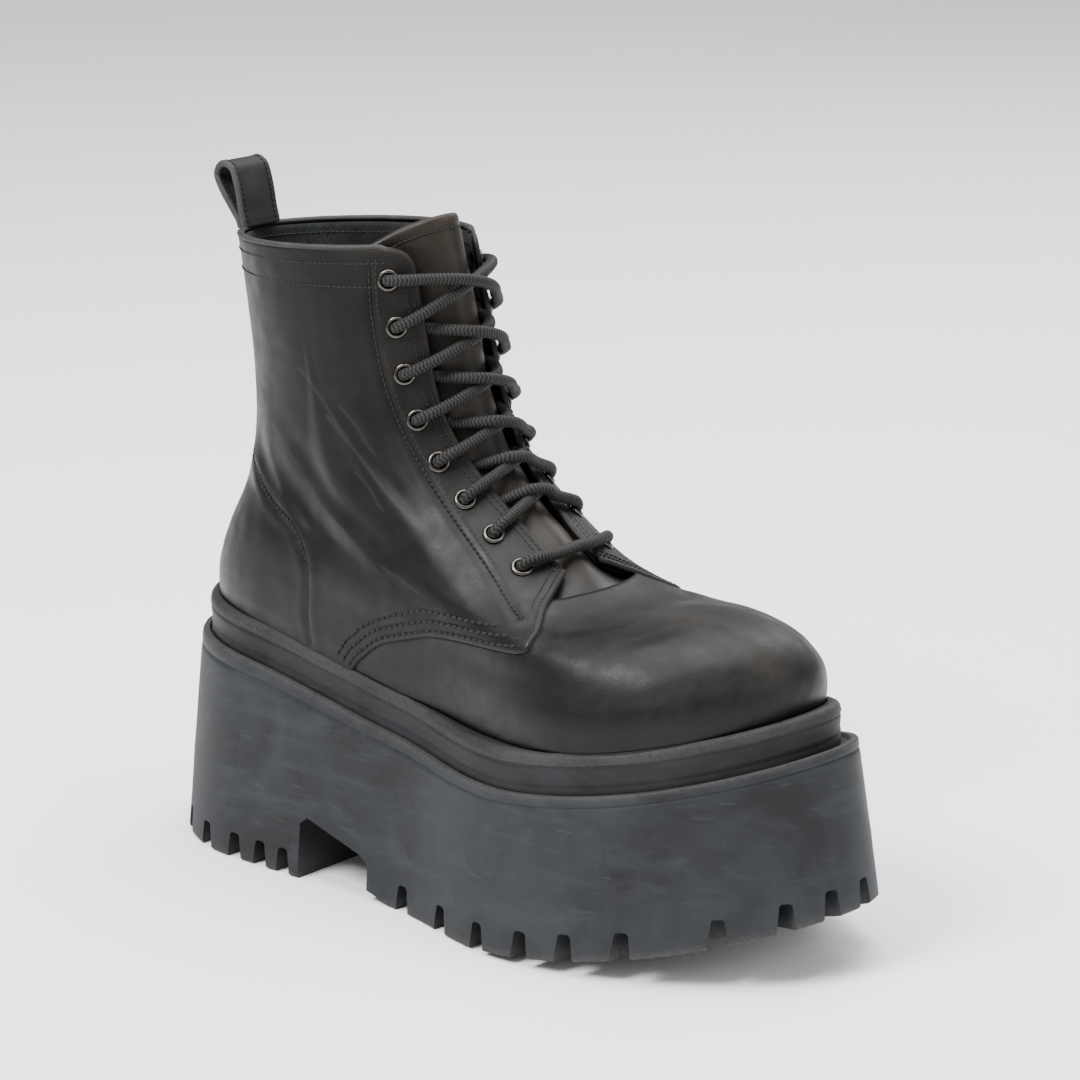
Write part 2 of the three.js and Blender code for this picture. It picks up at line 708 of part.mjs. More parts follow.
// Laces: cords between the facings. A leg leaves an eyelet and crosses the throat over the tongue.
// A tucked leg ends beside the far facing, which the cord goes under. Other legs reach the far eyelet.
function legHeight(level, turn, side, middle, tucked) {
  const edge = edgeTurn(level);
  const beyond = Math.abs(turn) > edge;
  const behind = turn * side < 0;
  if (beyond && !(tucked && behind)) {
    const onFacing = (Math.abs(turn) - edge) / (eyeletTurn(level) - edge);
    return lerp(LACE_EDGE_HEIGHT, LACE_EYELET_HEIGHT, onFacing);
  }
  const edgeHeight = tucked && behind ? LACE_TUCK_HEIGHT : LACE_EDGE_HEIGHT;
  const height = lerp(middle, edgeHeight, smoothstep(Math.abs(turn), 0, edge));
  return Math.max(height, LACE_RADIUS + GAP - tongueDepth(level, turn));
}

// A leg's middle line: side is that of its first eyelet. It bows upwards where it crosses its partner.
function legPath(fromPair, toPair, side, middle, tucked) {
  const from = EYELET_LEVELS[fromPair - 1];
  const to = EYELET_LEVELS[toPair - 1];
  const start = eyeletTurn(from);
  const finish = tucked ? LACE_TUCK_SPACE - edgeTurn(to) : -eyeletTurn(to);
  const stop = (start - finish) / (start + eyeletTurn(to));
  const points = [];
  for (let i = 0; i <= LACE_STEPS; i++) {
    const share = (stop * i) / LACE_STEPS;
    const bow = LACE_BOW * Math.sin(Math.PI * share);
    const level = lerp(from, to, share) + bow;
    const turn = side * lerp(start, finish, share / stop);
    points.push(frontPoint(level, turn, -legHeight(level, turn, side, middle, tucked)));
  }
  return points;
}

function cordAlong(points) {
  const round = Array.from({ length: LACE_SIDES }, (_, i) => {
    const angle = (2 * Math.PI * i) / LACE_SIDES;
    return new THREE.Vector2(LACE_RADIUS * Math.cos(angle), LACE_RADIUS * Math.sin(angle));
  });
  const path = new THREE.CatmullRomCurve3(points);
  return new THREE.ExtrudeGeometry(new THREE.Shape(round), { steps: LACE_STEPS, extrudePath: path });
}

function addLaces() {
  const bar = legPath(EYELET_PAIRS, EYELET_PAIRS, -1, LACE_UNDER_HEIGHT, false);
  addPiece("lace_bar", cordAlong(bar), cord);
  for (let pair = EYELET_PAIRS - 1; pair >= 2; pair--) {
    const tucked = pair > 2;
    const under = legPath(pair, pair - 1, -1, LACE_UNDER_HEIGHT, tucked);
    const over = legPath(pair, pair - 1, 1, LACE_OVER_HEIGHT, tucked);
    addPiece(`lace_crossing_${pair}`, joinAll([cordAlong(under), cordAlong(over)]), cord);
  }
}
addLaces();

// Pull loop: a leather strap folded into a teardrop that stands on the rim at the back of the collar.
// Its middle line in side view, as X and Z from the collar's outer edge at the back.
const LOOP_LINE = [
  [1.3, 1],
  [0.4, 2.8],
  [-1.7, 5.7],
  [-5.0, 9.9],
  [-8.3, 14.6],
  [-9.8, 18.4],
  [-8.4, 21.4],
  [-5.6, 22.5],
  [-2.4, 20.9],
  [-0.7, 17],
  [0.7, 11.8],
  [1.7, 6.3],
  [2.6, 2.8],
  [3.2, 1],
];

function makePullLoop() {
  const rim = upperPoint(COLLAR, 0);
  const line = new THREE.CatmullRomCurve3(LOOP_LINE.map(([x, z]) => new THREE.Vector3(x, 0, z)));
  const rings = [];
  for (let i = 0; i <= LOOP_STEPS; i++) {
    const share = i / LOOP_STEPS;
    const point = line.getPoint(share);
    const ahead = line.getTangent(share);
    const out = new THREE.Vector3(-ahead.z, 0, ahead.x).multiplyScalar(LOOP_THICKNESS / 2);
    const inner = rim.clone().add(point).sub(out);
    const outer = rim.clone().add(point).add(out);
    rings.push([
      new THREE.Vector3(inner.x, rim.y - LOOP_WIDTH / 2, inner.z),
      new THREE.Vector3(inner.x, rim.y + LOOP_WIDTH / 2, inner.z),
      new THREE.Vector3(outer.x, rim.y + LOOP_WIDTH / 2, outer.z),
      new THREE.Vector3(outer.x, rim.y - LOOP_WIDTH / 2, outer.z),
    ]);
  }
  const middle = Math.floor(LOOP_STEPS / 2);
  return joinAll([loft(rings.slice(0, middle + 1), false), loft(rings.slice(middle), false)]);
}
addPiece("pull_loop", makePullLoop(), leather);

export default boot;
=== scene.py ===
import math
import bpy
import bmesh
import numpy as np
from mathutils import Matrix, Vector


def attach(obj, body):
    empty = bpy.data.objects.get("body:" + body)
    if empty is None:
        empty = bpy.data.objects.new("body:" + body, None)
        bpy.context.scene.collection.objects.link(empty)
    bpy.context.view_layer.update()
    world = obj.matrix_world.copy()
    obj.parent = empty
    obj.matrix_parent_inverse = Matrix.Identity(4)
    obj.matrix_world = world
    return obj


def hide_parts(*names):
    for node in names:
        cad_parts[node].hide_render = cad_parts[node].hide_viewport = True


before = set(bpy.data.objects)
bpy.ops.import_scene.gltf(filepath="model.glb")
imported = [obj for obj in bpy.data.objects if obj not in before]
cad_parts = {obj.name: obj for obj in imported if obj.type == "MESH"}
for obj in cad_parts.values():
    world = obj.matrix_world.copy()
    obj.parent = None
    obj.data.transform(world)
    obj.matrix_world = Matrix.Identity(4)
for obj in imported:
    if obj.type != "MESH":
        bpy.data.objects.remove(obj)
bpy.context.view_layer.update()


# ---------------------------------------------------------------- sizes, in millimetres
SOLE_LENGTH = 291.0
HEEL_HEIGHT = 75.5
FOREFOOT_HEIGHT = 57.0
TOE_TOP_RISE = 22.0
TOE_SPRING = 23.0
SIDE_FLARE = 0.075
TOE_FLARE = 0.15
HEEL_FLARE = 0.1
WALL = 2.2
WELT_HEIGHT = 14.0
SOLE_BACK = -SOLE_LENGTH / 2
SOLE_FRONT = SOLE_LENGTH / 2
ARCH_LOW = 20.0
HEEL_PITCH_RUN = 135.0
TOE_TOP_RUN = 121.0
SPRING_START = 7.0
HEEL_BREAST = -60.5
FOREFOOT_BREAST = -28.0
ARCH_HEIGHT_BACK = 23.5
ARCH_HEIGHT_FRONT = 14.5
HEEL_POWER = 1.85
TOE_POWER = 1.97
OUTLINE_BOW = 5.9
TOE_SWING = 4.0
CENTRE_Y = 4.72

COLUMNS = [
    "back", "backZ", "front", "frontZ", "sideZ", "heel", "waist", "ball", "tail", "nose", "dip", "sway",
]
SECTIONS = np.array([
    [-130.4, 74.65, 122.5, 71.9, 71.9, 31.0, 31.5, 47.0, 44, 62, 1.0, 1.0],
    [-131.0, 89.5, 124.0, 87.3, 87.3, 32.0, 32.3, 48.3, 44, 62, 1.0, 1.0],
    [-130.8, 96.0, 124.0, 94.0, 92.5, 33.0, 33.0, 48.8, 44, 61, 0.9, 1.0],
    [-129.9, 102.0, 122.3, 100.0, 96.0, 33.3, 33.5, 48.3, 44, 59, 0.85, 1.0],
    [-128.0, 108.0, 118.0, 105.3, 98.0, 33.3, 34.0, 47.0, 44, 55, 0.8, 1.0],
    [-125.9, 113.0, 112.0, 109.6, 100.5, 33.0, 34.3, 45.5, 44, 50, 0.75, 1.0],
    [-123.6, 118.0, 103.0, 112.8, 102.5, 32.6, 34.8, 44.0, 44, 44, 0.7, 1.0],
    [-121.3, 122.5, 90.0, 114.6, 104.5, 32.3, 35.3, 42.5, 44, 37, 0.65, 0.9],
    [-119.2, 127.0, 73.5, 113.6, 106.0, 32.0, 35.8, 41.0, 44, 32, 0.6, 0.72],
    [-117.4, 131.5, 57.5, 112.0, 107.5, 32.0, 36.2, 39.5, 44, 31, 0.5, 0.5],
    [-116.2, 136.0, 38.5, 118.3, 112.5, 32.0, 36.5, 38.0, 44, 33, 0.3, 0.25],
    [-114.7, 144.0, 19.5, 130.5, 126.0, 32.0, 36.0, 36.0, 44, 37, 0.1, 0.0],
    [-113.7, 154.0, 2.2, 145.5, 142.5, 32.3, 35.0, 34.5, 45, 41, 0.0, -0.15],
    [-113.3, 166.0, -8.8, 161.0, 159.8, 33.0, 34.2, 34.0, 46, 44, 0.0, -0.25],
    [-114.2, 181.0, -15.3, 179.0, 179.0, 33.6, 34.0, 33.8, 47, 46, 0.0, -0.3],
    [-116.8, 199.0, -20.0, 200.0, 200.0, 34.0, 34.0, 34.0, 47, 46, 0.0, -0.3],
    [-120.8, 220.5, -26.0, 226.8, 226.8, 34.2, 34.2, 34.2, 49, 46, 0.0, -0.3],
])
COLLAR = len(SECTIONS) - 1
THROAT = 9.3
THROAT_LOW = 9.5
THROAT_HIGH = 16.8
THROAT_OPENS = (10.9, 14.0)
THROAT_RUN = 1.05
THROAT_POWER = 0.8
FACING_CORNER = 8.0
CORNER_RUN = 0.3
EYELET_FROM_EDGE = (13.6, 10.2)
TOP_EYELET_LEVEL = 15.57
EYELET_SPACING = 16.2
EYELET_PAIRS = 8
GROUND = dict(back=SOLE_BACK, front=SOLE_FRONT, heel=41.7, waist=41.6, ball=58.5, tail=48.0, nose=96.0)


def smooth(x, low, high):
    t = np.clip((np.asarray(x, float) - low) / (high - low), 0, 1)
    return t * t * (3 - 2 * t)


def lerp(a, b, t):
    return a + (b - a) * t


def platform_top(x):
    heel = (HEEL_HEIGHT - FOREFOOT_HEIGHT) * smooth(ARCH_LOW - np.asarray(x, float), 0, HEEL_PITCH_RUN)
    return FOREFOOT_HEIGHT + heel + TOE_TOP_RISE * (np.maximum(x - ARCH_LOW, 0) / TOE_TOP_RUN) ** 2


def platform_bottom(x):
    return TOE_SPRING * (np.maximum(x - SPRING_START, 0) / (SOLE_FRONT - SPRING_START)) ** 2


def middle_line(x, sway):
    along = np.clip((x - SOLE_BACK) / SOLE_LENGTH, 0, 1)
    return CENTRE_Y + sway * (TOE_SWING * along ** 6 - OUTLINE_BOW * np.sin(math.pi * along))


def rounded_end(share, power):
    return (1 - np.clip(share, 0, 1) ** power) ** (1 / power)


def half_width(s, x):
    tail_end = s["back"] + s["tail"]
    nose_start = s["front"] - s["nose"]
    along = (x - tail_end) / (nose_start - tail_end)
    middle = np.where(along < 0.5, lerp(s["heel"], s["waist"], smooth(along, 0, 0.5)),
                      lerp(s["waist"], s["ball"], smooth(along, 0.5, 1)))
    out = np.where(x < tail_end, s["heel"] * rounded_end((tail_end - x) / s["tail"], HEEL_POWER), middle)
    return np.where(x > nose_start, s["ball"] * rounded_end((x - nose_start) / s["nose"], TOE_POWER), out)


def inset(s, distance, front=None):
    front = distance if front is None else front
    return dict(back=s["back"] + distance, front=s["front"] - front, heel=s["heel"] - distance,
                waist=s["waist"] - distance, ball=s["ball"] - distance, tail=s["tail"] - distance / 2,
                nose=s["nose"] - front)


def outline(s, angle, sway=1.0):
    x = (s["back"] + s["front"]) / 2 - np.cos(angle) * (s["front"] - s["back"]) / 2
    side = np.where(np.sin(angle) > 0, -1.0, 1.0)
    return x, middle_line(x, sway) + side * half_width(s, x)


def section_at(level):
    level = np.asarray(level, float)
    row = np.clip(np.floor(level).astype(int), 0, COLLAR - 1)
    t = (level - row)[..., None]
    before, start, end, after = (SECTIONS[np.clip(row + k, 0, COLLAR)] for k in (-1, 0, 1, 2))
    leave = np.where((row == 0)[..., None], end - start, (end - before) / 2)
    arrive = np.where((row == COLLAR - 1)[..., None], end - start, (after - start) / 2)
    t2, t3 = t * t, t ** 3
    value = (2 * t3 - 3 * t2 + 1) * start + (t3 - 2 * t2 + t) * leave
    value = value + (3 * t2 - 2 * t3) * end + (t3 - t2) * arrive
    return {name: value[..., i] for i, name in enumerate(COLUMNS)}


def surface(level, angle):
    level, angle = np.broadcast_arrays(np.asarray(level, float), np.asarray(angle, float))
    s = section_at(np.minimum(level, COLLAR))
    x, y = outline(s, angle, s["sway"])
    along = (x - s["back"]) / (s["front"] - s["back"])
    chord = lerp(platform_top(s["back"]), platform_top(s["front"]), along)
    crest = np.clip((x - s["front"] + s["nose"]) / s["nose"], 0, 1) ** 1.5
    z = lerp(s["backZ"], s["sideZ"], along) + s["dip"] * (platform_top(x) - chord)
    z = z + (s["frontZ"] - s["sideZ"]) * crest
    point = np.stack([x, y, z], -1)
    if np.any(level > COLLAR):
        rim = surface(np.full_like(level, COLLAR), angle)
        below = surface(np.full_like(level, COLLAR - 0.2), angle)
        beyond = rim + (rim - below) * ((level - COLLAR) / 0.2)[..., None]
        point = np.where((level > COLLAR)[..., None], beyond, point)
    return point


def normal(level, angle):
    level, angle = np.broadcast_arrays(np.asarray(level, float), np.asarray(angle, float))
    top = np.minimum(level, COLLAR)
    up = surface(np.minimum(top + 0.02, COLLAR), angle) - surface(np.maximum(top - 0.02, 0), angle)
    around = surface(top, angle + 0.02) - surface(top, angle - 0.02)
    n = np.cross(around, up)
    return n / np.linalg.norm(n, axis=-1, keepdims=True)


def shell(level, angle, height):
    return surface(level, angle) + normal(level, angle) * np.asarray(height, float)[..., None]


def nose_angle(level, turn):
    s = section_at(np.minimum(level, COLLAR))
    swing = np.arccos(np.clip(1 - 2 * s["nose"] * (1 - np.cos(turn)) / (s["front"] - s["back"]), -1, 1))
    return math.pi + np.sign(turn) * swing


def throat_half(level):
    facing = lerp(THROAT_LOW, THROAT_HIGH, smooth(level, *THROAT_OPENS))
    narrowing = np.clip((level - THROAT) / THROAT_RUN, 0.0, 1) ** THROAT_POWER
    corner = np.clip((level - COLLAR + CORNER_RUN) / CORNER_RUN, 0, 1)
    return facing * narrowing + FACING_CORNER * (1 - np.sqrt(1 - corner ** 2))


def turn_until(level, passed):
    turn = np.zeros(np.shape(level))
    step = 0.7
    while step > 0.0004:
        turn = np.where(passed(turn + step), turn, turn + step)
        step /= 2
    return turn


def edge_turn(level):
    level = np.asarray(level, float)
    front = surface(level, math.pi)[..., 1]
    half = throat_half(level)
    return turn_until(level, lambda t: surface(level, nose_angle(level, t))[..., 1] - front > half)


def eyelet_turn(level):
    level = np.asarray(level, float)
    edge = edge_turn(level)
    start = surface(level, nose_angle(level, edge))
    wanted = lerp(EYELET_FROM_EDGE[0], EYELET_FROM_EDGE[1], smooth(level, *THROAT_OPENS))
    return turn_until(level, lambda t: np.sign(t - edge) * np.linalg.norm(
        surface(level, nose_angle(level, t)) - start, axis=-1) > wanted)


def eyelet_levels():
    levels = [TOP_EYELET_LEVEL]
    while len(levels) < EYELET_PAIRS:
        above = levels[-1]
        start = surface(above, nose_angle(above, -eyelet_turn(above)))
        tries = above - np.arange(1, 400) * 0.005
        far = np.linalg.norm(surface(tries, nose_angle(tries, -eyelet_turn(tries))) - start, axis=-1)
        levels.append(float(tries[np.argmax(far >= EYELET_SPACING)]))
    return levels


def make_piece(name, points, faces, material, slot, replaces=(), attributes=None, uv=None, smooth_faces=True):
    """A mesh object from points in millimetres and lists of faces."""
    mesh = bpy.data.meshes.new(name)
    points = np.asarray(points, float).reshape(-1, 3)
    if not np.isfinite(points).all():
        raise ValueError(f"{name} has points that are not finite")
    mesh.from_pydata((points * 0.001).tolist(), [], faces)
    mesh.validate()
    mesh.update()
    mesh.polygons.foreach_set("use_smooth", [smooth_faces] * len(mesh.polygons))
    for key, values in (attributes or {}).items():
        layer = mesh.attributes.new(key, "FLOAT", "POINT")
        layer.data.foreach_set("value", np.asarray(values, np.float32).ravel())
    if uv is not None:
        layer = mesh.uv_layers.new(name="UVMap")
        loops = np.empty(len(mesh.loops), np.int32)
        mesh.loops.foreach_get("vertex_index", loops)
        layer.data.foreach_set("uv", np.asarray(uv, np.float32)[loops].ravel())
    obj = bpy.data.objects.new(name, mesh)
    bpy.context.scene.collection.objects.link(obj)
    if material is not None:
        mesh.materials.append(material)
    finish_piece(obj, slot, replaces)
    return obj


def finish_piece(obj, slot, replaces):
    if slot:
        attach(obj, "root")
        if replaces:
            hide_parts(*replaces)


def grid_faces(rows, columns, closed_columns=False, closed_rows=False, start=0, flip=False):
    faces = []
    last_row = rows if closed_rows else rows - 1
    last_column = columns if closed_columns else columns - 1
    for r in range(last_row):
        low = start + r * columns
        high = start + ((r + 1) % rows) * columns
        for c in range(last_column):
            d = (c + 1) % columns
            face = (low + c, low + d, high + d, high + c)
            faces.append(face[::-1] if flip else face)
    return faces


def sheet(outer, inner):
    """A closed sheet from an outer and an inner grid of points, both rows by columns by 3."""
    rows, columns, _ = outer.shape
    count = rows * columns
    faces = grid_faces(rows, columns) + grid_faces(rows, columns, start=count, flip=True)
    for r in range(rows - 1):
        a, b = r * columns, (r + 1) * columns
        faces.append((a, b, b + count, a + count))
        e, f = a + columns - 1, b + columns - 1
        faces.append((f, e, e + count, f + count))
    for c in range(columns - 1):
        faces.append((c + 1, c, c + count, c + 1 + count))
        t = (rows - 1) * columns + c
        faces.append((t, t + 1, t + 1 + count, t + count))
    return np.concatenate([outer.reshape(-1, 3), inner.reshape(-1, 3)]), faces


def orient(obj):
    """Turns all faces of a closed piece outwards."""
    bm = bmesh.new()
    bm.from_mesh(obj.data)
    bmesh.ops.recalc_face_normals(bm, faces=bm.faces)
    bm.to_mesh(obj.data)
    bm.free()


def solid(*arguments, **settings):
    """A closed piece, its faces turned outwards."""
    obj = make_piece(*arguments, **settings)
    orient(obj)
    return obj


def sharpen(obj, degrees):
    """Marks the edges that turn by more than an angle as sharp."""
    bm = bmesh.new()
    bm.from_mesh(obj.data)
    for edge in bm.edges:
        if len(edge.link_faces) == 2:
            edge.smooth = edge.calc_face_angle(0) < math.radians(degrees)
    for face in bm.faces:
        face.smooth = True
    bm.to_mesh(obj.data)
    bm.free()


def resample(line, step):
    """Points at equal distances along a polyline."""
    line = np.asarray(line, float)
    lengths = np.r_[0, np.cumsum(np.linalg.norm(np.diff(line, axis=0), axis=1))]
    count = max(int(lengths[-1] / step), 2)
    at = np.linspace(0, lengths[-1], count + 1)
    return np.stack([np.interp(at, lengths, line[:, k]) for k in range(line.shape[1])], 1)


def spline(points, per_span):
    """A Catmull-Rom curve through points of any dimension."""
    p = np.asarray(points, float)
    p = np.vstack([2 * p[0] - p[1], p, 2 * p[-1] - p[-2]])
    out = []
    for i in range(1, len(p) - 2):
        t = np.linspace(0, 1, per_span, endpoint=False)[:, None]
        a, b, c, d = p[i - 1], p[i], p[i + 1], p[i + 2]
        bend = (2 * a - 5 * b + 4 * c - d) * t ** 2 + (3 * b - a - 3 * c + d) * t ** 3
        out.append(0.5 * (2 * b + (c - a) * t + bend))
    return np.vstack(out + [p[-2][None]])



def frames(line, normals):
    """Unit tangents, normals and sides along a line."""
    tangent = np.gradient(line, axis=0)
    tangent /= np.linalg.norm(tangent, axis=1, keepdims=True)
    normals = normals - (normals * tangent).sum(1, keepdims=True) * tangent
    normals /= np.linalg.norm(normals, axis=1, keepdims=True)
    return tangent, normals, np.cross(tangent, normals)


def sweep(line, normals, profile):
    """Grid of points of a closed profile (side, height) carried along a line."""
    _, normals, side = frames(line, normals)
    profile = np.asarray(profile, float)
    return line[:, None] + side[:, None] * profile[None, :, :1] + normals[:, None] * profile[None, :, 1:2]


def tube_faces(rows, columns, start=0):
    faces = grid_faces(rows, columns, closed_columns=True, start=start)
    faces.append(tuple(start + c for c in range(columns))[::-1])
    faces.append(tuple(start + (rows - 1) * columns + c for c in range(columns)))
    return faces


# ---------------------------------------------------------------- materials
def material_of(name):
    material = bpy.data.materials.new(name)
    material.use_nodes = True
    tree = material.node_tree
    tree.nodes.clear()
    shader = tree.nodes.new("ShaderNodeBsdfPrincipled")
    output = tree.nodes.new("ShaderNodeOutputMaterial")
    tree.links.new(shader.outputs[0], output.inputs[0])
    return material, tree, shader


def node(tree, kind, inputs=None, **settings):
    made = tree.nodes.new(kind)
    for key, value in settings.items():
        setattr(made, key, value)
    for key, value in (inputs or {}).items():
        if isinstance(value, bpy.types.NodeSocket):
            tree.links.new(value, made.inputs[key])
        else:
            made.inputs[key].default_value = value
    return made


def noise(tree, where, scale, detail=4.0, roughness=0.55, distortion=0.0):
    return node(tree, "ShaderNodeTexNoise", {"Vector": where, "Scale": scale, "Detail": detail,
                                             "Roughness": roughness, "Distortion": distortion}).outputs["Fac"]


def ramp(tree, value, low, high, to_low=0.0, to_high=1.0):
    return node(tree, "ShaderNodeMapRange", {"Value": value, "From Min": low, "From Max": high,
                                             "To Min": to_low, "To Max": to_high}, clamp=True).outputs[0]


def maths(tree, operation, a, b=0.0):
    return node(tree, "ShaderNodeMath", {0: a, 1: b}, operation=operation, use_clamp=False).outputs[0]


def times(tree, a, b):
    return maths(tree, "MULTIPLY", a, b)


def mix_colour(tree, share, a, b):
    made = node(tree, "ShaderNodeMix", data_type="RGBA")
    for socket, value in (("Factor_Float", share), ("A_Color", a), ("B_Color", b)):
        target = next(s for s in made.inputs if s.identifier == socket)
        if isinstance(value, bpy.types.NodeSocket):
            tree.links.new(value, target)
        else:
            target.default_value = value if socket == "Factor_Float" else (*value, 1.0)
    return next(s for s in made.outputs if s.identifier == "Result_Color")


def bump(tree, shader, height, strength, distance, below=None):
    inputs = {"Height": height, "Strength": strength, "Distance": distance}
    if below is not None:
        inputs["Normal"] = below
    made = node(tree, "ShaderNodeBump", inputs)
    tree.links.new(made.outputs[0], shader.inputs["Normal"])
    return made.outputs[0]


def leather(name, dark, wear_and_highlight_colour, gloss, grain, seed):
    material, tree, shader = material_of(name)
    where = node(tree, "ShaderNodeTexCoord").outputs["Object"]
    moved = node(tree, "ShaderNodeMapping", {"Vector": where, "Location": (seed, seed * 0.7, 0)}).outputs[0]
    cloud = noise(tree, moved, 26.0, 5.0, 0.6, 0.3)
    patches = noise(tree, moved, 110.0, 6.0, 0.62)
    fine = noise(tree, moved, 1500.0, 3.0, 0.6)
    pores = node(tree, "ShaderNodeTexVoronoi", {"Vector": moved, "Scale": 900.0},
                 feature="DISTANCE_TO_EDGE").outputs[0]
    rub = node(tree, "ShaderNodeAttribute", attribute_name="rub").outputs["Fac"]
    scratch = node(tree, "ShaderNodeAttribute", attribute_name="scratch").outputs["Fac"]
    # Mixes towards the lighter second colour where the attribute is high: rubbed wear on edges, toe and
    # patches, and painted highlight along the vamp's and the tongue's crests and beside the lower facing.
    wear_and_highlight_mask = times(tree, rub, ramp(tree, patches, 0.32, 0.62, 0.45, 1.15))
    base = mix_colour(tree, ramp(tree, cloud, 0.35, 0.7, 0.0, 0.75), dark, tuple(1.9 * c for c in dark))
    base = mix_colour(tree, times(tree, wear_and_highlight_mask, 0.85), base, wear_and_highlight_colour)
    speck = ramp(tree, noise(tree, moved, 700.0, 2.0), 0.6, 0.78)
    base = mix_colour(tree, times(tree, times(tree, speck, wear_and_highlight_mask), 0.6), base,
                      tuple(1.7 * c for c in wear_and_highlight_colour))
    base = mix_colour(tree, times(tree, scratch, 0.25), base, (0.09, 0.085, 0.08))
    tree.links.new(base, shader.inputs["Base Color"])
    rough = maths(tree, "ADD", ramp(tree, patches, 0.3, 0.7, gloss - 0.06, gloss + 0.1),
                  times(tree, wear_and_highlight_mask, 0.05))
    tree.links.new(rough, shader.inputs["Roughness"])
    shader.inputs["Specular IOR Level"].default_value = 0.17
    under = bump(tree, shader, cloud, 0.25, 0.0012)
    under = bump(tree, shader, ramp(tree, pores, 0.0, 0.12), 0.10 * grain, 0.0001, under)
    bump(tree, shader, maths(tree, "ADD", fine, patches), 0.16 * grain, 0.0002, under)
    return material


def rubber(name, dark, pale, scale=1.0):
    material, tree, shader = material_of(name)
    where = node(tree, "ShaderNodeTexCoord").outputs["Object"]
    cloud = noise(tree, where, 22.0 * scale, 6.0, 0.62, 0.8)
    smear = node(tree, "ShaderNodeMapping", {"Vector": where, "Scale": (16.0, 16.0, 60.0)}).outputs[0]
    wipes = noise(tree, smear, 1.6, 5.0, 0.65, 1.2)
    fine = noise(tree, where, 900.0, 3.0, 0.6)
    streak = node(tree, "ShaderNodeMapping", {"Vector": where, "Scale": (60.0, 60.0, 700.0),
                                              "Rotation": (0.25, -0.2, 0.1)}).outputs[0]
    scratches = ramp(tree, noise(tree, streak, 1.2, 2.0, 0.5), 0.69, 0.76)
    wear_and_highlight_mask = node(tree, "ShaderNodeAttribute", attribute_name="rub").outputs["Fac"]
    base = mix_colour(tree, ramp(tree, cloud, 0.38, 0.66), dark, pale)
    base = mix_colour(tree, ramp(tree, wipes, 0.5, 0.75, 0.0, 0.6), base, tuple(1.35 * c for c in pale))
    base = mix_colour(tree, times(tree, scratches, 0.12), base, (0.12, 0.12, 0.12))
    base = mix_colour(tree, times(tree, wear_and_highlight_mask, ramp(tree, fine, 0.35, 0.6, 0.35, 1.0)), base,
                      (0.07, 0.066, 0.060))
    tree.links.new(base, shader.inputs["Base Color"])
    tree.links.new(ramp(tree, cloud, 0.3, 0.7, 0.5, 0.66), shader.inputs["Roughness"])
    shader.inputs["Specular IOR Level"].default_value = 0.14
    under = bump(tree, shader, wipes, 0.12, 0.0008)
    bump(tree, shader, fine, 0.16, 0.00018, under)
    return material


def fabric(name, dark, pale, scale=1.0):
    material, tree, shader = material_of(name)
    where = node(tree, "ShaderNodeTexCoord").outputs["Object"]
    fuzz = noise(tree, where, 1400.0 * scale, 4.0, 0.7)
    cloud = noise(tree, where, 70.0, 5.0, 0.6)
    tree.links.new(mix_colour(tree, times(tree, ramp(tree, fuzz, 0.35, 0.7), ramp(tree, cloud, 0.3, 0.7)),
                              dark, pale), shader.inputs["Base Color"])
    tree.links.new(ramp(tree, fuzz, 0.3, 0.7, 0.86, 1.0), shader.inputs["Roughness"])
    shader.inputs["Sheen Weight"].default_value = 0.06
    shader.inputs["Specular IOR Level"].default_value = 0.12
    shader.inputs["Sheen Roughness"].default_value = 0.5
    bump(tree, shader, fuzz, 0.5, 0.0004)
    return material


def thread(name, dark, pale):
    material, tree, shader = material_of(name)
    where = node(tree, "ShaderNodeTexCoord").outputs["Object"]
    waves = {"Vector": where, "Scale": 900.0, "Distortion": 6.0, "Detail": 2.0}
    twist = node(tree, "ShaderNodeTexWave", waves,
                 wave_type="BANDS", bands_direction="DIAGONAL").outputs["Fac"]
    tree.links.new(mix_colour(tree, twist, dark, pale), shader.inputs["Base Color"])
    tree.links.new(ramp(tree, twist, 0.0, 1.0, 0.5, 0.7), shader.inputs["Roughness"])
    shader.inputs["Specular IOR Level"].default_value = 0.15
    bump(tree, shader, twist, 0.3, 0.0001)
    return material


def lace_cloth(name):
    material, tree, shader = material_of(name)
    uv = node(tree, "ShaderNodeTexCoord").outputs["UV"]
    parts = node(tree, "ShaderNodeSeparateXYZ", {0: uv})
    where = node(tree, "ShaderNodeTexCoord").outputs["Object"]
    fibre = noise(tree, where, 2600.0, 3.0, 0.6)
    zigzag = maths(tree, "PINGPONG", times(tree, parts.outputs[1], 4.0), 0.5)
    phase = maths(tree, "ADD", times(tree, parts.outputs[0], LACE_LENGTH_UNITS), zigzag)
    strands = maths(tree, "SINE", times(tree, phase, 2 * math.pi))
    lit = ramp(tree, strands, -0.6, 0.9)
    base = mix_colour(tree, lit, (0.004, 0.004, 0.004), (0.026, 0.025, 0.024))
    base = mix_colour(tree, times(tree, ramp(tree, fibre, 0.5, 0.75), 0.35), base, (0.05, 0.048, 0.045))
    tree.links.new(base, shader.inputs["Base Color"])
    tree.links.new(ramp(tree, fibre, 0.3, 0.7, 0.5, 0.75), shader.inputs["Roughness"])
    shader.inputs["Sheen Weight"].default_value = 0.02
    shader.inputs["Specular IOR Level"].default_value = 0.15
    under = bump(tree, shader, lit, 0.5, 0.0003)
    bump(tree, shader, fibre, 0.25, 0.0001, under)
    return material


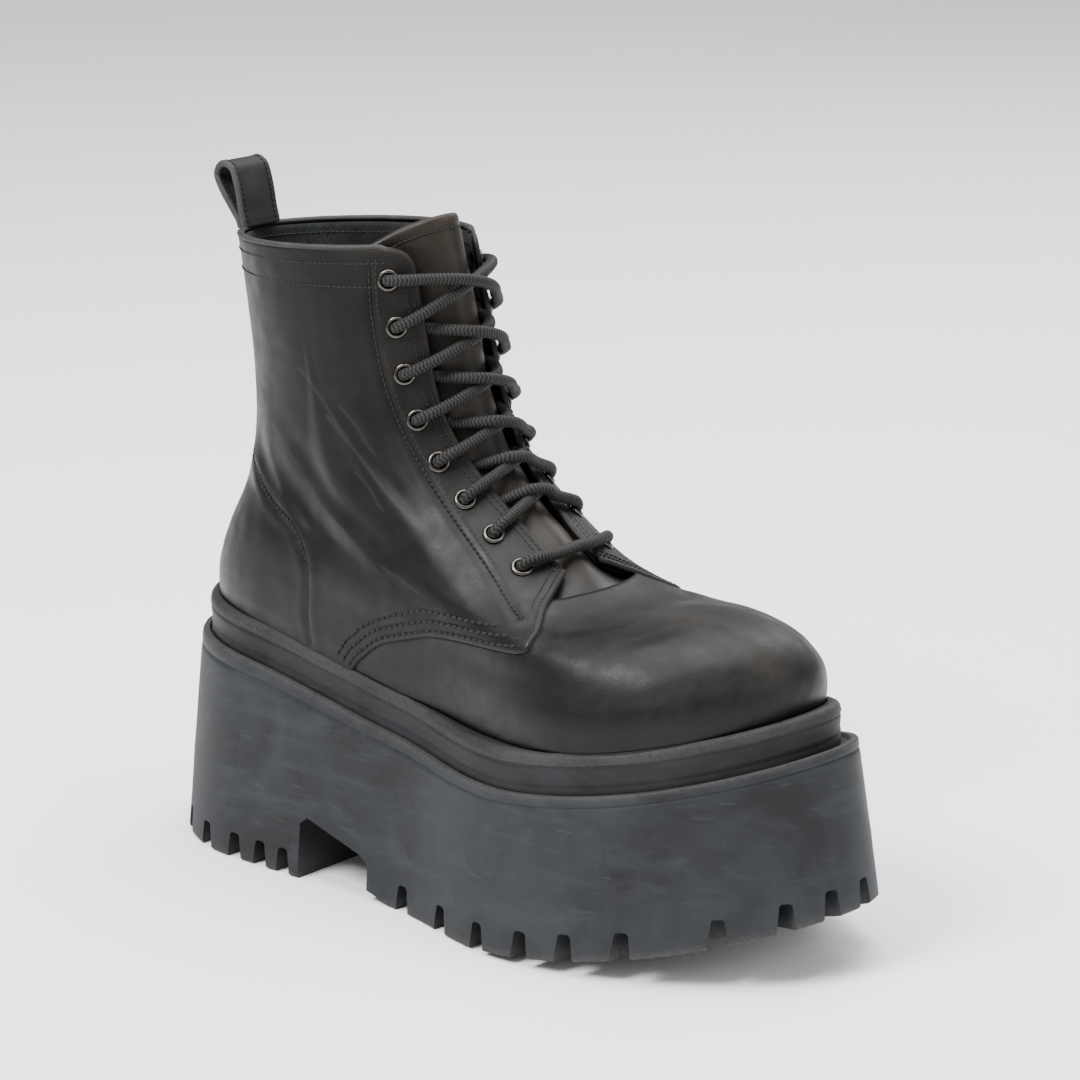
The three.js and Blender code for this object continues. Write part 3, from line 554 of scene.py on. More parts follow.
def metal(name):
    material, tree, shader = material_of(name)
    where = node(tree, "ShaderNodeTexCoord").outputs["Object"]
    patches = noise(tree, where, 260.0, 4.0, 0.6)
    fine = noise(tree, where, 1800.0, 3.0, 0.6)
    bright = node(tree, "ShaderNodeAttribute", attribute_name="rub").outputs["Fac"]
    base = mix_colour(tree, ramp(tree, patches, 0.35, 0.65), (0.03, 0.028, 0.026), (0.08, 0.07, 0.058))
    base = mix_colour(tree, times(tree, bright, 0.55), base, (0.12, 0.11, 0.095))
    tree.links.new(base, shader.inputs["Base Color"])
    tree.links.new(ramp(tree, fine, 0.3, 0.7, 0.16, 0.32), shader.inputs["Roughness"])
    shader.inputs["Metallic"].default_value = 1.0
    bump(tree, shader, fine, 0.1, 0.00008)
    return material


LACE_PITCH = 1.25
LACE_LENGTH_UNITS = 640.0
BLACK = (0.0032, 0.0031, 0.0031)
BROWN = (0.015, 0.0122, 0.0096)

# Leathers: name, dark colour, colour of rubbed wear and painted highlight, roughness, strength of the grain,
# shift of the pattern.
LEATHERS = [
    ("upper_leather", BLACK, BROWN, 0.42, 1.0, 0.0),
    ("vamp_leather", (0.0034, 0.0033, 0.0032), (0.0145, 0.0125, 0.0106), 0.4, 1.25, 0.31),
    ("tongue_leather", (0.0036, 0.0033, 0.0030), (0.028, 0.0215, 0.0145), 0.38, 1.0, 0.57),
    ("loop_leather", (0.013, 0.0125, 0.0125), (0.045, 0.043, 0.04), 0.5, 1.0, 0.83),
    ("edge_leather", (0.012, 0.0117, 0.0114), (0.045, 0.043, 0.040), 0.52, 1.4, 0.19),
]
upper_leather, vamp_leather, tongue_leather, loop_leather, edge_leather = (leather(*row) for row in LEATHERS)
sole_rubber = rubber("sole_rubber", (0.0125, 0.0131, 0.0143), (0.0245, 0.0265, 0.0300))
welt_rubber = rubber("welt_rubber", (0.0095, 0.0098, 0.0105), (0.0185, 0.0190, 0.0205), 1.5)
lining_cloth = fabric("lining_suede", (0.006, 0.007, 0.0067), (0.035, 0.04, 0.037))
sock_cloth = fabric("insole_sock", (0.007, 0.0075, 0.0075), (0.025, 0.026, 0.025), 1.3)
stitch_thread = thread("stitch_thread", (0.006, 0.006, 0.006), (0.03, 0.029, 0.028))
heavy_thread = thread("heavy_thread", (0.005, 0.0045, 0.0045), (0.024, 0.022, 0.020))
lace_material = lace_cloth("lace_braid")
eyelet_metal = metal("eyelet_metal")


# ---------------------------------------------------------------- creases, scuffs and rubbed places
# Each crease: level and angle of its two ends, depth and half width in millimetres.
# Negative depths are ridges.
CREASES = [
    (11.6, 58, 8.6, 86, 1.3, 5.0),
    (12.6, 70, 9.8, 104, 0.9, 4.0),
    (13.6, 100, 11.2, 128, 0.6, 3.2),
    (10.9, 84, 8.4, 118, -0.8, 4.5),
    (12.2, 40, 9.9, 60, 0.9, 5.0),
    (11.6, 302, 8.8, 272, 1.2, 5.0),
    (12.8, 290, 9.8, 256, 0.9, 4.0),
    (10.8, 276, 8.5, 242, -0.8, 4.5),
    (12.3, 320, 10.0, 300, 0.9, 5.0),
    (8.6, 146, 8.1, 172, 0.6, 3.5),
    (8.6, 214, 8.1, 188, 0.6, 3.5),
    (7.2, 148, 7.0, 170, 0.35, 3.0),
]

# Scratches: level and angle of the two ends, half width in millimetres, strength.
SCRATCHES = [
    (14.05, 84, 12.85, 106, 0.5, 0.55),
    (13.2, 96, 11.5, 122, 0.55, 0.6),
    (13.45, 103, 12.6, 117, 0.4, 0.45),
    (12.5, 60, 11.6, 76, 0.45, 0.4),
    (14.6, 52, 14.0, 58, 0.45, 0.45),
    (12.1, 104, 11.4, 112, 0.4, 0.5),
    (9.6, 96, 8.9, 106, 0.4, 0.35),
    (12.9, 250, 11.8, 232, 0.5, 0.5),
    (13.9, 286, 12.9, 268, 0.5, 0.45),
]


FAR = 99.0


def segment_distance(points, a, b):
    """Distance to a segment, and how far along it, for an array of points."""
    ab = b - a
    t = np.clip(((points - a) @ ab) / max(ab @ ab, 1e-9), 0, 1)
    return np.linalg.norm(points - (a + t[..., None] * ab), axis=-1), t


def distance_to(points, path, stride=1):
    """Least distance from an array of points to a line, taken every few points of it."""
    least = np.full(points.shape[:2], FAR)
    for i in range(0, len(path) - stride, stride):
        least = np.minimum(least, segment_distance(points, path[i], path[i + stride])[0])
    return least


def creased(level, angle):
    """Height change of the leather from its creases."""
    points = surface(level, angle)
    change = np.zeros(points.shape[:-1])
    for l0, a0, l1, a1, depth, width in CREASES:
        a, b = surface(l0, math.radians(a0)), surface(l1, math.radians(a1))
        middle = shell((l0 + l1) / 2, math.radians((a0 + a1) / 2), 0.0)
        for start, end, lo, hi in ((a, middle, 0.0, 0.5), (middle, b, 0.5, 1.0)):
            d, t = segment_distance(points, start, end)
            fade = np.sin(math.pi * np.clip(lo + t * (hi - lo), 0.04, 0.96)) ** 0.7
            part = -depth * fade * np.exp(-(d / width) ** 2)
            if depth > 0:
                change = np.where(np.abs(part) > np.abs(change), part, change)
            else:
                change = change + 0.6 * part
    return change


def scratched(level, angle):
    points = surface(level, angle)
    marks = np.zeros(points.shape[:-1])
    for l0, a0, l1, a1, width, strength in SCRATCHES:
        knots = np.linspace(0, 1, 6)
        path = surface(l0 + (l1 - l0) * knots, np.radians(a0 + (a1 - a0) * knots + 1.5 * np.sin(5 * knots)))
        for i in range(5):
            d, _ = segment_distance(points, path[i], path[i + 1])
            marks = np.maximum(marks, strength * np.exp(-(d / width) ** 2))
    return marks


def ripple(points, size, seed):
    """A smooth wandering height from a few waves, about -1 to 1."""
    wave = np.random.default_rng(seed)
    total = np.zeros(points.shape[:-1])
    for _ in range(7):
        direction = wave.normal(size=3)
        direction /= np.linalg.norm(direction)
        rate = 2 * math.pi / (size * wave.uniform(0.7, 1.5))
        total += np.sin(points @ direction * rate + wave.uniform(0, 6.3))
    return total / 7




# ---------------------------------------------------------------- stitches
def stitch_mesh(places, directions, normals, length, width, height):
    """Small capsules lying on a surface, one mesh: long rounded grains from short rings."""
    rings = [(-0.5, 0.25), (-0.36, 0.85), (0.0, 1.0), (0.36, 0.85), (0.5, 0.25)]
    sides = 6
    points, faces = [], []
    for place, ahead, up in zip(places, directions, normals):
        side = np.cross(ahead, up)
        start = len(points)
        for along, size in rings:
            for k in range(sides):
                a = 2 * math.pi * k / sides
                points.append(place + ahead * along * length + side * math.cos(a) * size * width / 2
                              + up * (math.sin(a) * size * height / 2))
        faces += tube_faces(len(rings), sides, start)
    return points, faces


class Stitches:
    def __init__(self):
        self.points, self.faces = [], []

    def add(self, line, normals, pitch, length, width, height, lift):
        """Stitches along a 3D line with its surface normals."""
        both = resample(np.hstack([line, normals]), pitch)
        line, up = both[:, :3], both[:, 3:]
        up = up / np.linalg.norm(up, axis=1, keepdims=True)
        ahead = np.gradient(line, axis=0)
        ahead /= np.linalg.norm(ahead, axis=1, keepdims=True)
        up = up - (up * ahead).sum(1, keepdims=True) * ahead
        up /= np.linalg.norm(up, axis=1, keepdims=True)
        places = line + up * lift
        points, faces = stitch_mesh(places, ahead, up, length, width, height)
        start = len(self.points)
        self.points += points
        self.faces += [tuple(start + i for i in f) for f in faces]

    def make(self, name, material, slot):
        return make_piece(name, self.points, self.faces, material, slot)


fine_stitches = Stitches()
heavy_stitches = Stitches()


def upper_line(knots, mirrored=False, per_span=14):
    """Level and angle (degrees) along a smooth line on the upper, also mirrored to the medial side."""
    line = spline(knots, per_span)
    if mirrored:
        line = line.copy()
        line[:, 1] = 360 - line[:, 1]
    return line


def stitch_upper(stitches, line, rise, **size):
    level, angle = line[:, 0], np.radians(line[:, 1])
    points = shell(level, angle, np.broadcast_to(rise, level.shape) + creased(level, angle))
    stitches.add(points, normal(level, angle), **size)


def beside(line, distance):
    """A line of level and angle moved sideways over the surface by millimetres (positive is to its left)."""
    level, angle = line[:, 0], np.radians(line[:, 1])
    here = surface(level, angle)
    ahead = np.gradient(here, axis=0)
    ahead /= np.linalg.norm(ahead, axis=1, keepdims=True)
    left = np.cross(normal(level, angle), ahead)
    up = (surface(level + 0.05, angle) - surface(level - 0.05, angle)) / 0.1
    around = (surface(level, angle + 0.02) - surface(level, angle - 0.02)) / 0.04
    uu, ua, aa = (up * up).sum(1), (up * around).sum(1), (around * around).sum(1)
    lu, la = (left * up).sum(1), (left * around).sum(1)
    det = uu * aa - ua * ua
    d_level = (lu * aa - la * ua) / det
    d_angle = (la * uu - lu * ua) / det
    return np.stack([level + d_level * distance, np.degrees(angle + d_angle * distance)], 1)


FINE = dict(pitch=2.1, length=1.75, width=0.62, height=0.55, lift=0.08)
TINY = dict(pitch=1.9, length=1.55, width=0.55, height=0.5, lift=0.06)
HEAVY = dict(pitch=2.9, length=2.45, width=1.15, height=1.0, lift=0.18)

# Lines on the lateral side, as level and angle in degrees. The medial side mirrors them.
COUNTER_LINE = [(10.95, 33), (10.6, 42), (9.4, 59), (7.7, 62.5), (5.6, 62.8), (3.4, 62.5), (1.3, 63.2)]
STAY_LINE = [(15.8, 128), (15.45, 126.3), (15, 125.2), (14.05, 126), (13.15, 130.3), (12.2, 136),
             (11.2, 140.8), (10.3, 143.5), (9.3, 141.8)]
SEAM = [(0.9, 72.7), (1.1, 73.2), (2.2, 76.2), (3.4, 80), (4.6, 86.5), (5.6, 93.8), (6.2, 103.2),
        (6.55, 113.2), (6.9, 122.2)]
LOBE = [(6.9, 122.2), (8.2, 136.8), (9.4, 150.5), (9.95, 161.0)]
LOBE.append((10.3, float(np.degrees(nose_angle(np.array(10.3), -edge_turn(10.3))))))

# ---------------------------------------------------------------- upper: quarters, vamp and lining
EYELETS = eyelet_levels()


def facing_angle(level):
    """Angle of the facing's edge on the lateral side, following the lobe below the throat."""
    edge = nose_angle(level, -edge_turn(np.maximum(level, 10.3)))
    low = np.interp(level, [k[0] for k in LOBE], [k[1] for k in LOBE])
    return np.where(level < 10.3, np.radians(low), edge)


QUARTER_THICKNESS = 1.25
VAMP_THICKNESS = 1.2
VAMP_ROWS, VAMP_COLUMNS = 150, 250
TONGUE_ROWS, TONGUE_COLUMNS = 170, 110
TONGUE_TURN = 1.08
TONGUE_THICKNESS = 2.4
CRESTED_ANGLE = 172


def quarter(side, thickness=QUARTER_THICKNESS):
    """One quarter as a thick leather sheet, from the back seam to the facing or the vamp seam."""
    rise = np.array(SEAM + LOBE[1:])
    edge_curve = spline(rise, 16)
    levels = np.r_[np.linspace(0.0, 0.9, 4)[:-1], np.linspace(0.9, 6.85, 60), np.linspace(6.9, 10.3, 60)[1:],
                   np.linspace(10.3, 15.6, 112)[1:], 16 - 0.4 * (1 - np.linspace(0, 1, 14)[1:])]
    last = np.empty(len(levels))
    for i, level in enumerate(levels):
        if level < 0.9:
            last[i] = math.radians(72.7)
        elif level < 10.3:
            last[i] = math.radians(np.interp(level, edge_curve[:, 0], edge_curve[:, 1]))
        else:
            last[i] = float(facing_angle(np.array(level)))
    columns = 176
    share = np.linspace(0, 1, columns)
    share = 1 - (1 - share) ** 1.12
    level = np.repeat(levels[:, None], columns, 1)
    angle = last[:, None] * share[None]
    here = surface(level, angle)
    edge_lateral = surface(edge_curve[:, 0], np.radians(edge_curve[:, 1]))
    high = np.linspace(10.3, 16, 90)
    facing = surface(high, facing_angle(high))
    boundary = np.vstack([edge_lateral, facing])
    from_edge = distance_to(here, boundary)
    from_rim = np.linalg.norm(here - surface(np.full_like(level, COLLAR), angle), axis=-1)
    lift = smooth(level, 13.5, 8.5) * 0.9 * smooth(angle, math.radians(30), math.radians(75))
    lift = np.where(from_edge < 16, np.maximum(lift, 0.9 * smooth(16 - from_edge, 0, 8)
                                               * smooth(level, 11.2, 9.6)), lift)
    roll = 1.15 * (1 - np.sqrt(np.clip(1 - np.clip(1 - from_edge / 1.5, 0, 1) ** 2, 0, 1)))
    rim_roll = 1.0 * (1 - np.sqrt(np.clip(1 - np.clip(1 - from_rim / 1.6, 0, 1) ** 2, 0, 1)))
    groove = np.zeros_like(lift)
    for knots, depth, width in ((COUNTER_LINE, 0.35, 1.0), (STAY_LINE, 0.35, 1.0)):
        path = upper_line(knots)
        path3 = surface(path[:, 0], np.radians(path[:, 1]))
        near = distance_to(here, path3, 2)
        groove -= depth * np.exp(-(near / width) ** 2)
        groove += 0.25 * np.exp(-((near - 3.0) / 2.0) ** 2)
    if side > 0:
        angle = 2 * math.pi - angle
    wander = 0.32 * ripple(here * [1, side, 1], 34, 11) + 0.10 * ripple(here * [1, side, 1], 9, 5)
    fade = smooth(from_edge, 0, 14) * smooth(from_rim, 0, 10)
    height = lift - roll - rim_roll + (groove + creased(level, angle) + wander) * np.clip(fade + 0.15, 0, 1)
    outer = shell(level, angle, height)
    inner = shell(level, angle, np.minimum(height, lift) - thickness)
    if side > 0:
        outer, inner = outer[:, ::-1], inner[:, ::-1]
        level, angle, from_edge, from_rim = (v[:, ::-1] for v in (level, angle, from_edge, from_rim))
        here = here[:, ::-1]
    points, faces = sheet(outer, inner)
    # Lighter along the cut edges and the collar rim from rubbed wear, in random rubbed patches, and with
    # painted highlight on the band beside the lower facing.
    rub = 0.9 * np.exp(-(from_edge / 2.0) ** 2) + 0.55 * np.exp(-(from_rim / 2.2) ** 2)
    rub += 0.35 * smooth(level, 9.0, 12.0) * np.exp(-((from_edge - 7) / 7) ** 2)
    rub += 0.30 * smooth(ripple(here, 60, 21), 0.05, 0.6)
    rub = np.clip(rub, 0, 1)
    marks = scratched(level, angle)
    attributes = {"rub": np.r_[rub.ravel(), rub.ravel()], "scratch": np.r_[marks.ravel(), marks.ravel()]}
    name = "quarter_lateral" if side < 0 else "quarter_medial"
    return solid(name, points, faces, upper_leather, "leather", ["upper"], attributes)


# Share of a piece's faces that has to be left after a cut.
LEAST_LEFT = 0.5
HOLE_RADIUS = 3.0
HOLE_REACH = 7.0
HOLE_SIDES = 20


def punch(obj):
    """Cuts the eyelet holes in a facing."""
    points, faces = [], []
    for level in EYELETS:
        for side in (-1, 1):
            angle = float(nose_angle(np.array(level), side * eyelet_turn(level)))
            centre, up = surface(level, angle), normal(level, angle)
            across = np.cross(up, [0, 0, 1.0])
            across /= np.linalg.norm(across)
            other = np.cross(up, across)
            start = len(points)
            for h in (-HOLE_REACH, HOLE_REACH):
                for k in range(HOLE_SIDES):
                    a = 2 * math.pi * k / HOLE_SIDES
                    out = across * math.cos(a) + other * math.sin(a)
                    points.append(centre + up * h + HOLE_RADIUS * out)
            faces += tube_faces(2, HOLE_SIDES, start)
    subtract(obj, points, faces, "holes")


def subtract(obj, points, faces, name, use_self=False):
    """Cuts closed shapes out of a piece, and stops if that leaves too little of it."""
    cutter = solid(name, points, faces, None, None)
    modifier = obj.modifiers.new(name, "BOOLEAN")
    modifier.operation = "DIFFERENCE"
    modifier.solver = "EXACT"
    modifier.use_self = use_self
    modifier.object = cutter
    before = len(obj.data.polygons)
    apply_modifiers(obj)
    if len(obj.data.polygons) < LEAST_LEFT * before:
        raise ValueError(f"{obj.name} lost most of its faces to {name}")
    bpy.data.objects.remove(cutter)


def apply_modifiers(obj):
    graph = bpy.context.evaluated_depsgraph_get()
    mesh = bpy.data.meshes.new_from_object(obj.evaluated_get(graph))
    old = obj.data
    obj.modifiers.clear()
    obj.data = mesh
    bpy.data.meshes.remove(old)


def make_vamp():
    """The vamp: a sheet over the toe whose back edges sink under the quarters."""
    rows, columns = VAMP_ROWS, VAMP_COLUMNS
    share = np.linspace(0, 1, rows)
    top = 9.75
    levels = top * share
    curve = spline(np.array(SEAM + LOBE[1:4]), 16)
    start = np.interp(levels, curve[:, 0], curve[:, 1])
    under = 9.0 * smooth(levels, 9.7, 6.5) + 1.5
    start = np.radians(start - under)
    across = np.linspace(-1, 1, columns)
    level = np.repeat(levels[:, None], columns, 1)
    angle = math.pi + across[None] * (math.pi - start)[:, None]
    here = surface(level, angle)
    seam = surface(curve[:, 0], np.radians(curve[:, 1]))
    folded = np.where(angle > math.pi, 2 * math.pi - angle, angle)
    edge_angle = np.radians(np.interp(level, curve[:, 0], curve[:, 1]))
    behind = smooth(edge_angle - folded, -0.02, 0.06)
    wander = 0.28 * ripple(here, 38, 31) + 0.07 * ripple(here, 8, 35)
    off_crest = np.degrees(folded) - CRESTED_ANGLE
    ridge = 0.5 * np.exp(-(off_crest / 5.0) ** 2) * smooth(level, 1.0, 3.5) * smooth(level, 9.2, 7.5)
    seam_dent = distance_to(surface(level, folded), seam, 2)
    puckers = 0.22 * np.exp(-(seam_dent / 9.0) ** 2) * ripple(here, 7, 41)
    height = creased(level, angle) + wander + ridge + puckers - 1.0 * behind
    height = np.where(level < 1.0, height * np.clip(level, 0, 1) - 0.2, height)
    outer = shell(level, angle, height)
    inner = shell(level, angle, height - VAMP_THICKNESS)
    points, faces = sheet(outer, inner)
    # Painted highlight along the vamp's crest; rubbed wear in patches, beside the seam and towards the toe.
    rub = 0.85 * np.exp(-(off_crest / 6.5) ** 2) * smooth(level, 0.8, 4.5) * smooth(level, 9.4, 8.6)
    rub += 0.3 * smooth(ripple(here, 45, 51), 0.0, 0.6) + 0.25 * np.exp(-(seam_dent / 4.0) ** 2)
    rub += 0.22 * smooth(here[..., 0], 60, 110)
    rub = np.clip(rub, 0, 1)
    marks = scratched(level, angle)
    attributes = {"rub": np.r_[rub.ravel(), rub.ravel()], "scratch": np.r_[marks.ravel(), marks.ravel()]}
    solid("vamp", points, faces, vamp_leather, "leather", ["upper"], attributes)


def make_lining():
    """The fuzzy lining inside the quarters and the vamp."""
    levels = np.r_[np.linspace(0.1, 9.6, 60), np.linspace(9.7, 15.93, 80)]
    columns = 200
    edge = np.where(levels > 9.6, facing_angle(np.maximum(levels, 9.6)) - 0.02 * (levels > 9.6), math.pi)
    share = np.linspace(-1, 1, columns)
    level = np.repeat(levels[:, None], columns, 1)
    angle = edge[:, None] * share[None]
    angle = np.where(angle < 0, angle + 2 * math.pi, angle)
    here = surface(level, angle)
    pad = 0.25 * ripple(here, 22, 61)
    outer = shell(level, angle, np.full(level.shape, -1.35))
    inner = shell(level, angle, -2.6 + pad)
    points, faces = sheet(outer, inner)
    return solid("lining", points, faces, lining_cloth, "lining", ["upper"])


def make_collar():
    """The rolled binding along the collar, and two stitch rows under it inside and outside."""
    edge = float(facing_angle(np.array(15.99)))
    angle = np.linspace(-edge, edge, 320)
    around = np.where(angle < 0, angle + 2 * math.pi, angle)
    top = np.full(len(angle), COLLAR - 0.01)
    drop = np.clip((np.abs(angle) - (edge - 0.1)) / 0.1, 0, 1) ** 2 * 1.6
    line = shell(top, around, np.full(len(angle), -1.05))
    line[:, 2] -= drop
    up = np.repeat([[0.0, 0.0, 1.0]], len(line), 0)
    profile = [(1.35 * math.cos(a), 0.95 * math.sin(a))
               for a in np.linspace(0, 2 * math.pi, 14, endpoint=False)]
    rings = sweep(line, up, profile)
    rings[..., 2] += 0.06 * ripple(rings, 6, 71)
    points = rings.reshape(-1, 3)
    rub = np.clip(0.55 + 0.5 * ripple(points, 14, 73), 0, 1)
    solid("collar_edge", points, tube_faces(len(line), len(profile)), edge_leather, "leather", ["upper"],
                     {"rub": rub})
    for drop, size in ((0.22, TINY), (0.52, TINY)):
        span = np.linspace(-edge + 0.06, edge - 0.06, 260)
        turned = np.where(span < 0, span + 2 * math.pi, span)
        level = np.full(len(span), COLLAR - drop)
        fine_stitches.add(shell(level, turned, np.full(len(span), -2.62)), -normal(level, turned), **size)
        fine_stitches.add(shell(level, turned, np.full(len(span), 0.0)), normal(level, turned), **size)


def strap_on(name, line, width, thickness, material, base):
    """A narrow leather strip lying on the upper along a line of level and angle."""
    level, angle = line[:, 0], np.radians(line[:, 1])
    points = shell(level, angle, np.full(len(level), base))
    half = width / 2
    profile = [(-half, 0), (-half + 0.1, 0.7 * thickness), (-half + 0.6, thickness), (0, 1.08 * thickness),
               (half - 0.6, thickness), (half - 0.1, 0.7 * thickness), (half, 0), (0, -0.3)]
    rings = sweep(points, normal(level, angle), profile)
    rub = np.clip(0.2 + 0.4 * ripple(rings.reshape(-1, 3), 20, 81), 0, 1)
    solid(name, rings.reshape(-1, 3), tube_faces(len(points), len(profile)), material, "leather",
                     ["upper"], {"rub": rub})
    _, up, side = frames(points, normal(level, angle))
    for sign in (-1, 1):
        fine_stitches.add(points + side * sign * (half - 1.1) + up * thickness, up, **TINY)


for side in (-1, 1):
    panel = quarter(side)
    punch(panel)
make_vamp()
punch(make_lining())
make_collar()
back = np.stack([np.linspace(1.3, 15.75, 80), np.full(80, 0.02)], 1)
strap_on("back_strap", back, 9.0, 0.9, upper_leather, 0.25)

for mirrored in (False, True):
    sign = -1 if mirrored else 1
    counter = upper_line(COUNTER_LINE, mirrored)
    stitch_upper(fine_stitches, counter, smooth(counter[:, 0], 13.5, 8.5) * 0.4, **FINE)
    stitch_upper(fine_stitches, beside(counter, 2.6 * sign), smooth(counter[:, 0], 13.5, 8.5) * 0.4, **FINE)
    stay = upper_line(STAY_LINE, mirrored)
    lifted = 0.9 * smooth(stay[:, 0], 13.5, 8.5)
    stitch_upper(fine_stitches, stay, lifted, **FINE)
    stitch_upper(fine_stitches, beside(stay, 2.4 * sign), lifted, **FINE)
    levels = np.linspace(9.9, 15.6, 120)
    facing = np.degrees(facing_angle(levels))
    facing = np.stack([levels, 360 - facing if mirrored else facing], 1)
    facing_lift = 0.9 * smooth(levels, 13.5, 8.5)
    for distance in (2.6, 4.9):
        stitch_upper(fine_stitches, beside(facing, distance * sign), facing_lift, **TINY)
    seam = upper_line(SEAM[1:], mirrored)
    for distance, stop in ((2.4, 0.97), (5.6, 0.95), (8.8, 0.92)):
        row = beside(seam, distance * sign)
        stitch_upper(heavy_stitches, row[:int(stop * len(row))], 0.85, **HEAVY)
    lobe = upper_line(LOBE, mirrored)
    for distance in (2.4, 4.8):
        stitch_upper(fine_stitches, beside(lobe, distance * sign)[2:], 0.85, **TINY)

# ---------------------------------------------------------------- platform, welt and insole
TOP_EDGE = inset(GROUND, SIDE_FLARE * FOREFOOT_HEIGHT, TOE_FLARE * FOREFOOT_HEIGHT)
TOP_EDGE["back"] = SOLE_BACK + HEEL_FLARE * HEEL_HEIGHT
TURN = np.linspace(0, 2 * math.pi, 360, endpoint=False)


def blend(a, b, t):
    return {k: lerp(a[k], b[k], t) for k in a}


def sole_ring(section, height):
    x, y = outline(section, TURN, 1.0)
    return np.stack([x, y, height(x)], 1)


def platform_row(share, push=0.0):
    """A ring of the platform's side at a share of its height, moved outwards by millimetres."""
    section = inset(blend(GROUND, TOP_EDGE, share), -push)
    return sole_ring(section, lambda x: lerp(platform_bottom(x), platform_top(x), share))


def lug_cutters():
    """Wedges between the lugs, and the arch gap, as one list of convex points and faces."""
    points, faces = [], []

    def wedge(x, y, heading, foot=7.1, roof=4.6, depth=9.5, reach=15.0):
        ahead = np.array([math.cos(heading), math.sin(heading), 0])
        side = np.array([-ahead[1], ahead[0], 0])
        base = np.array([x, y, platform_bottom(x)])
        start = len(points)
        for out in (4.0, -reach):
            right = [(foot / 2, -4), (foot / 2, -1.0), (roof / 2, depth - 0.8), (roof / 2 - 0.8, depth)]
            for half, z in right + [(-half, z) for half, z in reversed(right)]:
                points.append(base + ahead * out + side * half + np.array([0, 0, z]))
        faces.extend(tube_faces(2, 8, start))

    for x in (-110, -93.5, -80.5, -69, -10, 13, 34.5, 54, 71, 90.5):
        half = float(half_width(GROUND, np.array(float(x))))
        wedge(x, middle_line(x, 1) - half, -math.pi / 2)
        wedge(x, middle_line(x, 1) + half, math.pi / 2)
    ends = [(92.0, math.radians(d)) for d in (-54, -26, -7, 10, 29, 54)]
    ends += [(-104.0, math.pi - math.radians(d)) for d in (-52, -18, 18, 52)]
    for centre, angle in ends:
        reach = np.linspace(0, 80, 1600)
        x = centre + np.cos(angle) * reach
        y = middle_line(centre, 1) + np.sin(angle) * reach
        within = (x > SOLE_BACK) & (x < SOLE_FRONT) & (np.abs(y - middle_line(x, 1)) < half_width(GROUND, x))
        last = np.argmin(within) - 1
        wedge(x[last], y[last], angle)
    start = len(points)
    side = [(HEEL_BREAST - 1, -5), (HEEL_BREAST - 0.3, ARCH_HEIGHT_BACK - 3),
            (HEEL_BREAST + 3, ARCH_HEIGHT_BACK - 0.4),
            (FOREFOOT_BREAST - 4, ARCH_HEIGHT_FRONT + 1), (FOREFOOT_BREAST, ARCH_HEIGHT_FRONT - 2),
            (FOREFOOT_BREAST, 3.5), (FOREFOOT_BREAST + 13, 0), (FOREFOOT_BREAST + 13, -5)]
    for y in (-100, 100):
        points.extend(np.array([x, y, z], float) for x, z in side)
    faces.extend(tube_faces(2, len(side), start))
    return points, faces


def tread():
    """Shallow cross grooves under the forefoot and the heel."""
    points, faces = [], []
    for x in list(np.arange(-132, -66, 8.5)) + list(np.arange(-12, 126, 9.0)):
        start = len(points)
        half = float(half_width(GROUND, np.array(float(x)))) - 17
        if half < 8:
            continue
        z = float(platform_bottom(np.array(float(x))))
        middle = float(middle_line(x, 1))
        for y in (middle - half, middle + half):
            for dx, dz in ((-1.6, -3), (1.6, -3), (1.1, 2.6), (-1.1, 2.6)):
                points.append(np.array([x + dx, y, z + dz]))
        faces.extend(tube_faces(2, 4, start))
    return points, faces


def make_outsole():
    rows = [sole_ring(inset(GROUND, 30.0, 34.0), platform_bottom),
            sole_ring(inset(GROUND, 4.0), platform_bottom), sole_ring(inset(GROUND, 0.9), platform_bottom)]
    shares = [0.012, 0.05, 0.12, 0.2, 0.3, 0.4, 0.5, 0.6, 0.7, 0.8, 0.86, 0.905]
    shares += [0.918, 0.931, 0.944, 0.96, 0.985, 0.996]
    for share in shares:
        push = -0.55 * math.exp(-((share - 0.931) / 0.009) ** 2)
        push -= 0.35 if share > 0.99 else 0.0
        push += 0.12 * math.exp(-((share - 0.4) / 0.02) ** 2)
        ring = platform_row(share, push)
        rows.append(ring)
    rows.append(sole_ring(inset(TOP_EDGE, 0.9), platform_top))
    rows.append(sole_ring(inset(TOP_EDGE, 2.4), platform_top))
    rows.append(sole_ring(inset(TOP_EDGE, 3.0), lambda x: platform_top(x) - 1.2))
    rings = np.array(rows)
    rings[3:-3] += 0.16 * ripple(rings[3:-3], 42, 91)[..., None] * np.array([1.0, 1.0, 0.2])
    count = len(TURN)
    points = rings.reshape(-1, 3)
    faces = grid_faces(len(rows), count, closed_columns=True)
    base, top = 0, (len(rows) - 1) * count
    for i in range(count // 2):
        far, far_next = (count - i) % count, count - i - 1
        bottom = [i, far, far_next, i + 1]
        if i == 0:
            bottom.remove(far)
        elif i == count // 2 - 1:
            bottom.remove(far_next)
        faces.append(tuple(base + v for v in bottom))
        faces.append(tuple(top + v for v in reversed(bottom)))
    obj = solid("platform", points, faces, sole_rubber, "rubber", ["outsole"])
    subtract(obj, *lug_cutters(), "lugs", use_self=True)
    subtract(obj, *tread(), "tread", use_self=True)
    sharpen(obj, 34)
    mesh = obj.data
    co = np.empty(len(mesh.vertices) * 3)
    mesh.vertices.foreach_get("co", co)
    co = co.reshape(-1, 3) * 1000
    rub = 0.75 * np.exp(-np.maximum(co[:, 2] - platform_bottom(co[:, 0]), 0) / 1.3)
    rub += 0.4 * np.exp(-((platform_top(co[:, 0]) - co[:, 2]) / 1.2) ** 2)
    layer = mesh.attributes.new("rub", "FLOAT", "POINT")
    layer.data.foreach_set("value", np.clip(rub, 0, 1).astype(np.float32))


